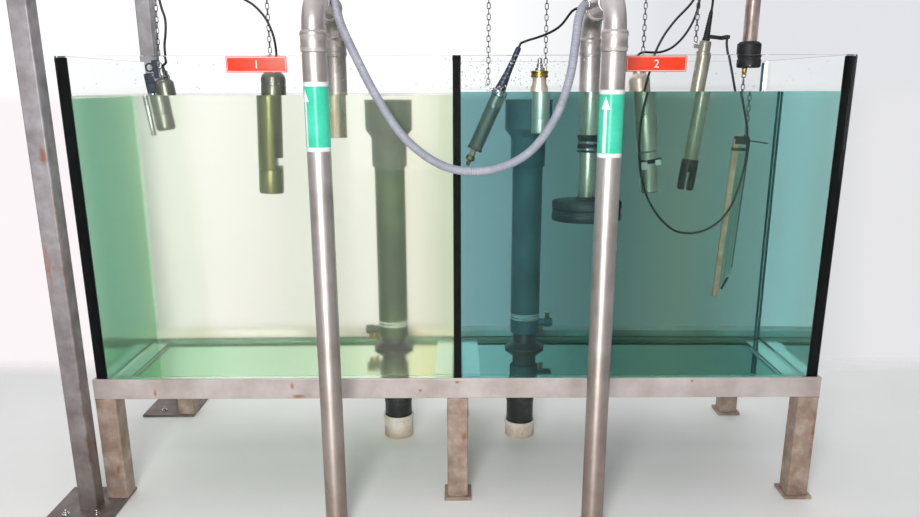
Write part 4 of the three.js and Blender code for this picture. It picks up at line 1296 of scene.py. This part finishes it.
# %% Drops
DROPS, NEAR_PARTITION = 520, 0.75
random.seed(7)
deselect()
bpy.ops.mesh.primitive_ico_sphere_add(subdivisions=2, radius=0.001)
seed_drop = bpy.context.object
drops = []
for k in range(DROPS):
    near = random.random() < NEAR_PARTITION
    x = random.gauss(60, 190) if near else random.uniform(-1180, 1180)
    z = random.uniform(1408, 1500)
    size = random.uniform(0.8, 2.2)
    drop = seed_drop.copy()
    drop.data = seed_drop.data.copy()
    drop.scale = (size, size * 0.45, size * random.uniform(1, 1.5))
    drop.location = Vector((x, 34.4, z)) / 1000
    scene.collection.objects.link(drop)
    drops.append(drop)
bpy.data.objects.remove(seed_drop)
cluster = joined(*drops)
bpy.ops.object.transform_apply()
bpy.ops.object.shade_smooth()
settle(cluster, "splash_drops", drop_water)

# %% [markdown]
# ## Studio
# The tank stands on a plain pale floor that fades out behind it, so that the hall is what its
# water is seen against. The hall is the world: it is brighter behind the tank than in front,
# darker towards both ends, which draws the dark edges of the upright pipes, and below eye level
# it is white behind the inflow and a pale grey wall behind the outflow. One large soft lamp in
# front lights the pipes.

# %% Floor, sky and lamp
deselect()
bpy.ops.mesh.primitive_plane_add(size=400, location=(0, 0, -0.0005))
floor = bpy.context.object
floor.name = "studio_floor"
pale = worn("pale_studio_floor", [(0.3, "#F0EFED"), (0.7, "#F7F6F4")], 900, 6,
            roughness=(0.5, 0.65), bump=0.03)
floor.data.materials.append(pale)
ground = pale.node_tree
spot = add_node(ground, "TexCoord").outputs["Object"]
depth = add_node(ground, "SeparateXYZ", {"Vector": spot}).outputs["Y"]
fade = add_node(ground, "MapRange", {"Value": depth, "From Min": 0.85, "From Max": 1.1})
faded = add_node(ground, "MixShader", {
    "Fac": fade.outputs["Result"], 1: ground.nodes["Principled BSDF"].outputs[0],
    2: add_node(ground, "BsdfTransparent").outputs[0]})
ground.links.new(faded.outputs[0], ground.nodes["Material Output"].inputs["Surface"])

scene.world = scene.world or bpy.data.worlds.new("sky")
scene.world.use_nodes = True
hall = scene.world.node_tree
sky = hall.nodes["Background"]
way = add_node(hall, "TexCoord").outputs["Generated"]
axes = add_node(hall, "SeparateXYZ", {"Vector": way}).outputs
aside = add_node(hall, "Math", {0: axes["X"]}, operation="ABSOLUTE").outputs[0]
RANGES = {  # what is mapped, the two ends of its range, and the share that it reaches
    "behind": (axes["Y"], -0.7, 0.3, 1), "facing": (axes["Y"], 0, 0.3, 1),
    "end": (aside, 0.52, 0.75, 1), "low": (axes["Z"], 0.7, 0.3, 1),
    "right": (axes["X"], 0, 0.25, 0.8), "wide": (axes["X"], -0.5, 0.5, 1),
    "below": (axes["Z"], 0, -0.02, 1)}
share = {name: add_node(hall, "MapRange", {
    "Value": value, "From Min": start, "From Max": end, "To Max": most}).outputs["Result"]
    for name, (value, start, end, most) in RANGES.items()}
sides = add_node(hall, "Math", {0: share["end"], 1: share["low"]}, operation="MULTIPLY").outputs[0]
shade = add_node(hall, "ValToRGB", {"Fac": share["behind"]}, stops=[
    (0, "#AEB1B3"), (1, "#FBFBFC")]).outputs["Color"]
wall = add_node(hall, "ValToRGB", {"Fac": share["wide"]}, stops=[
    (0, "#F1EAEC"), (0.49, "#F1EAEC"), (0.51, "#C3C5C8"), (0.6, "#B0B2B4"), (0.78, "#A5A7A8"),
    (0.87, "#BABCBE"), (0.97, "#DBDBDD")]).outputs["Color"]
near_floor = add_node(hall, "Mix", {"Factor": share["facing"], 6: colour("#DADCDC"), 7: wall},
                      data_type="RGBA").outputs[2]
tone = shade
for part, second, blend in ((sides, colour("#5C6164"), "MIX"),
                            (share["right"], colour("#D2D3D7"), "MULTIPLY"),
                            (share["below"], near_floor, "MIX")):
    tone = add_node(hall, "Mix", {"Factor": part, 6: tone, 7: second}, data_type="RGBA",
                    blend_type=blend).outputs[2]
hall.links.new(tone, sky.inputs["Color"])
sky.inputs["Strength"].default_value = 1.12

light = bpy.data.lights.new("front_lamp", "AREA")
light.shape = "RECTANGLE"
light.size, light.size_y = 0.8, 2.8
light.energy = 84
lamp = bpy.data.objects.new("front_lamp", light)
lamp.location = (-0.5, -3.4, 2.1)
lamp.rotation_euler = (Vector((0, 0, 0.9)) - lamp.location).to_track_quat("-Z", "Y").to_euler()
scene.collection.objects.link(lamp)
print(floor.name, "and", lamp.name, light.energy, "W")

scene.view_settings.view_transform = "Standard"
scene.cycles.max_bounces = 20
scene.cycles.transmission_bounces = 20
scene.cycles.transparent_max_bounces = 24
scene.cycles.glossy_bounces = 6
scene.cycles.use_denoising = True

# %% [markdown]
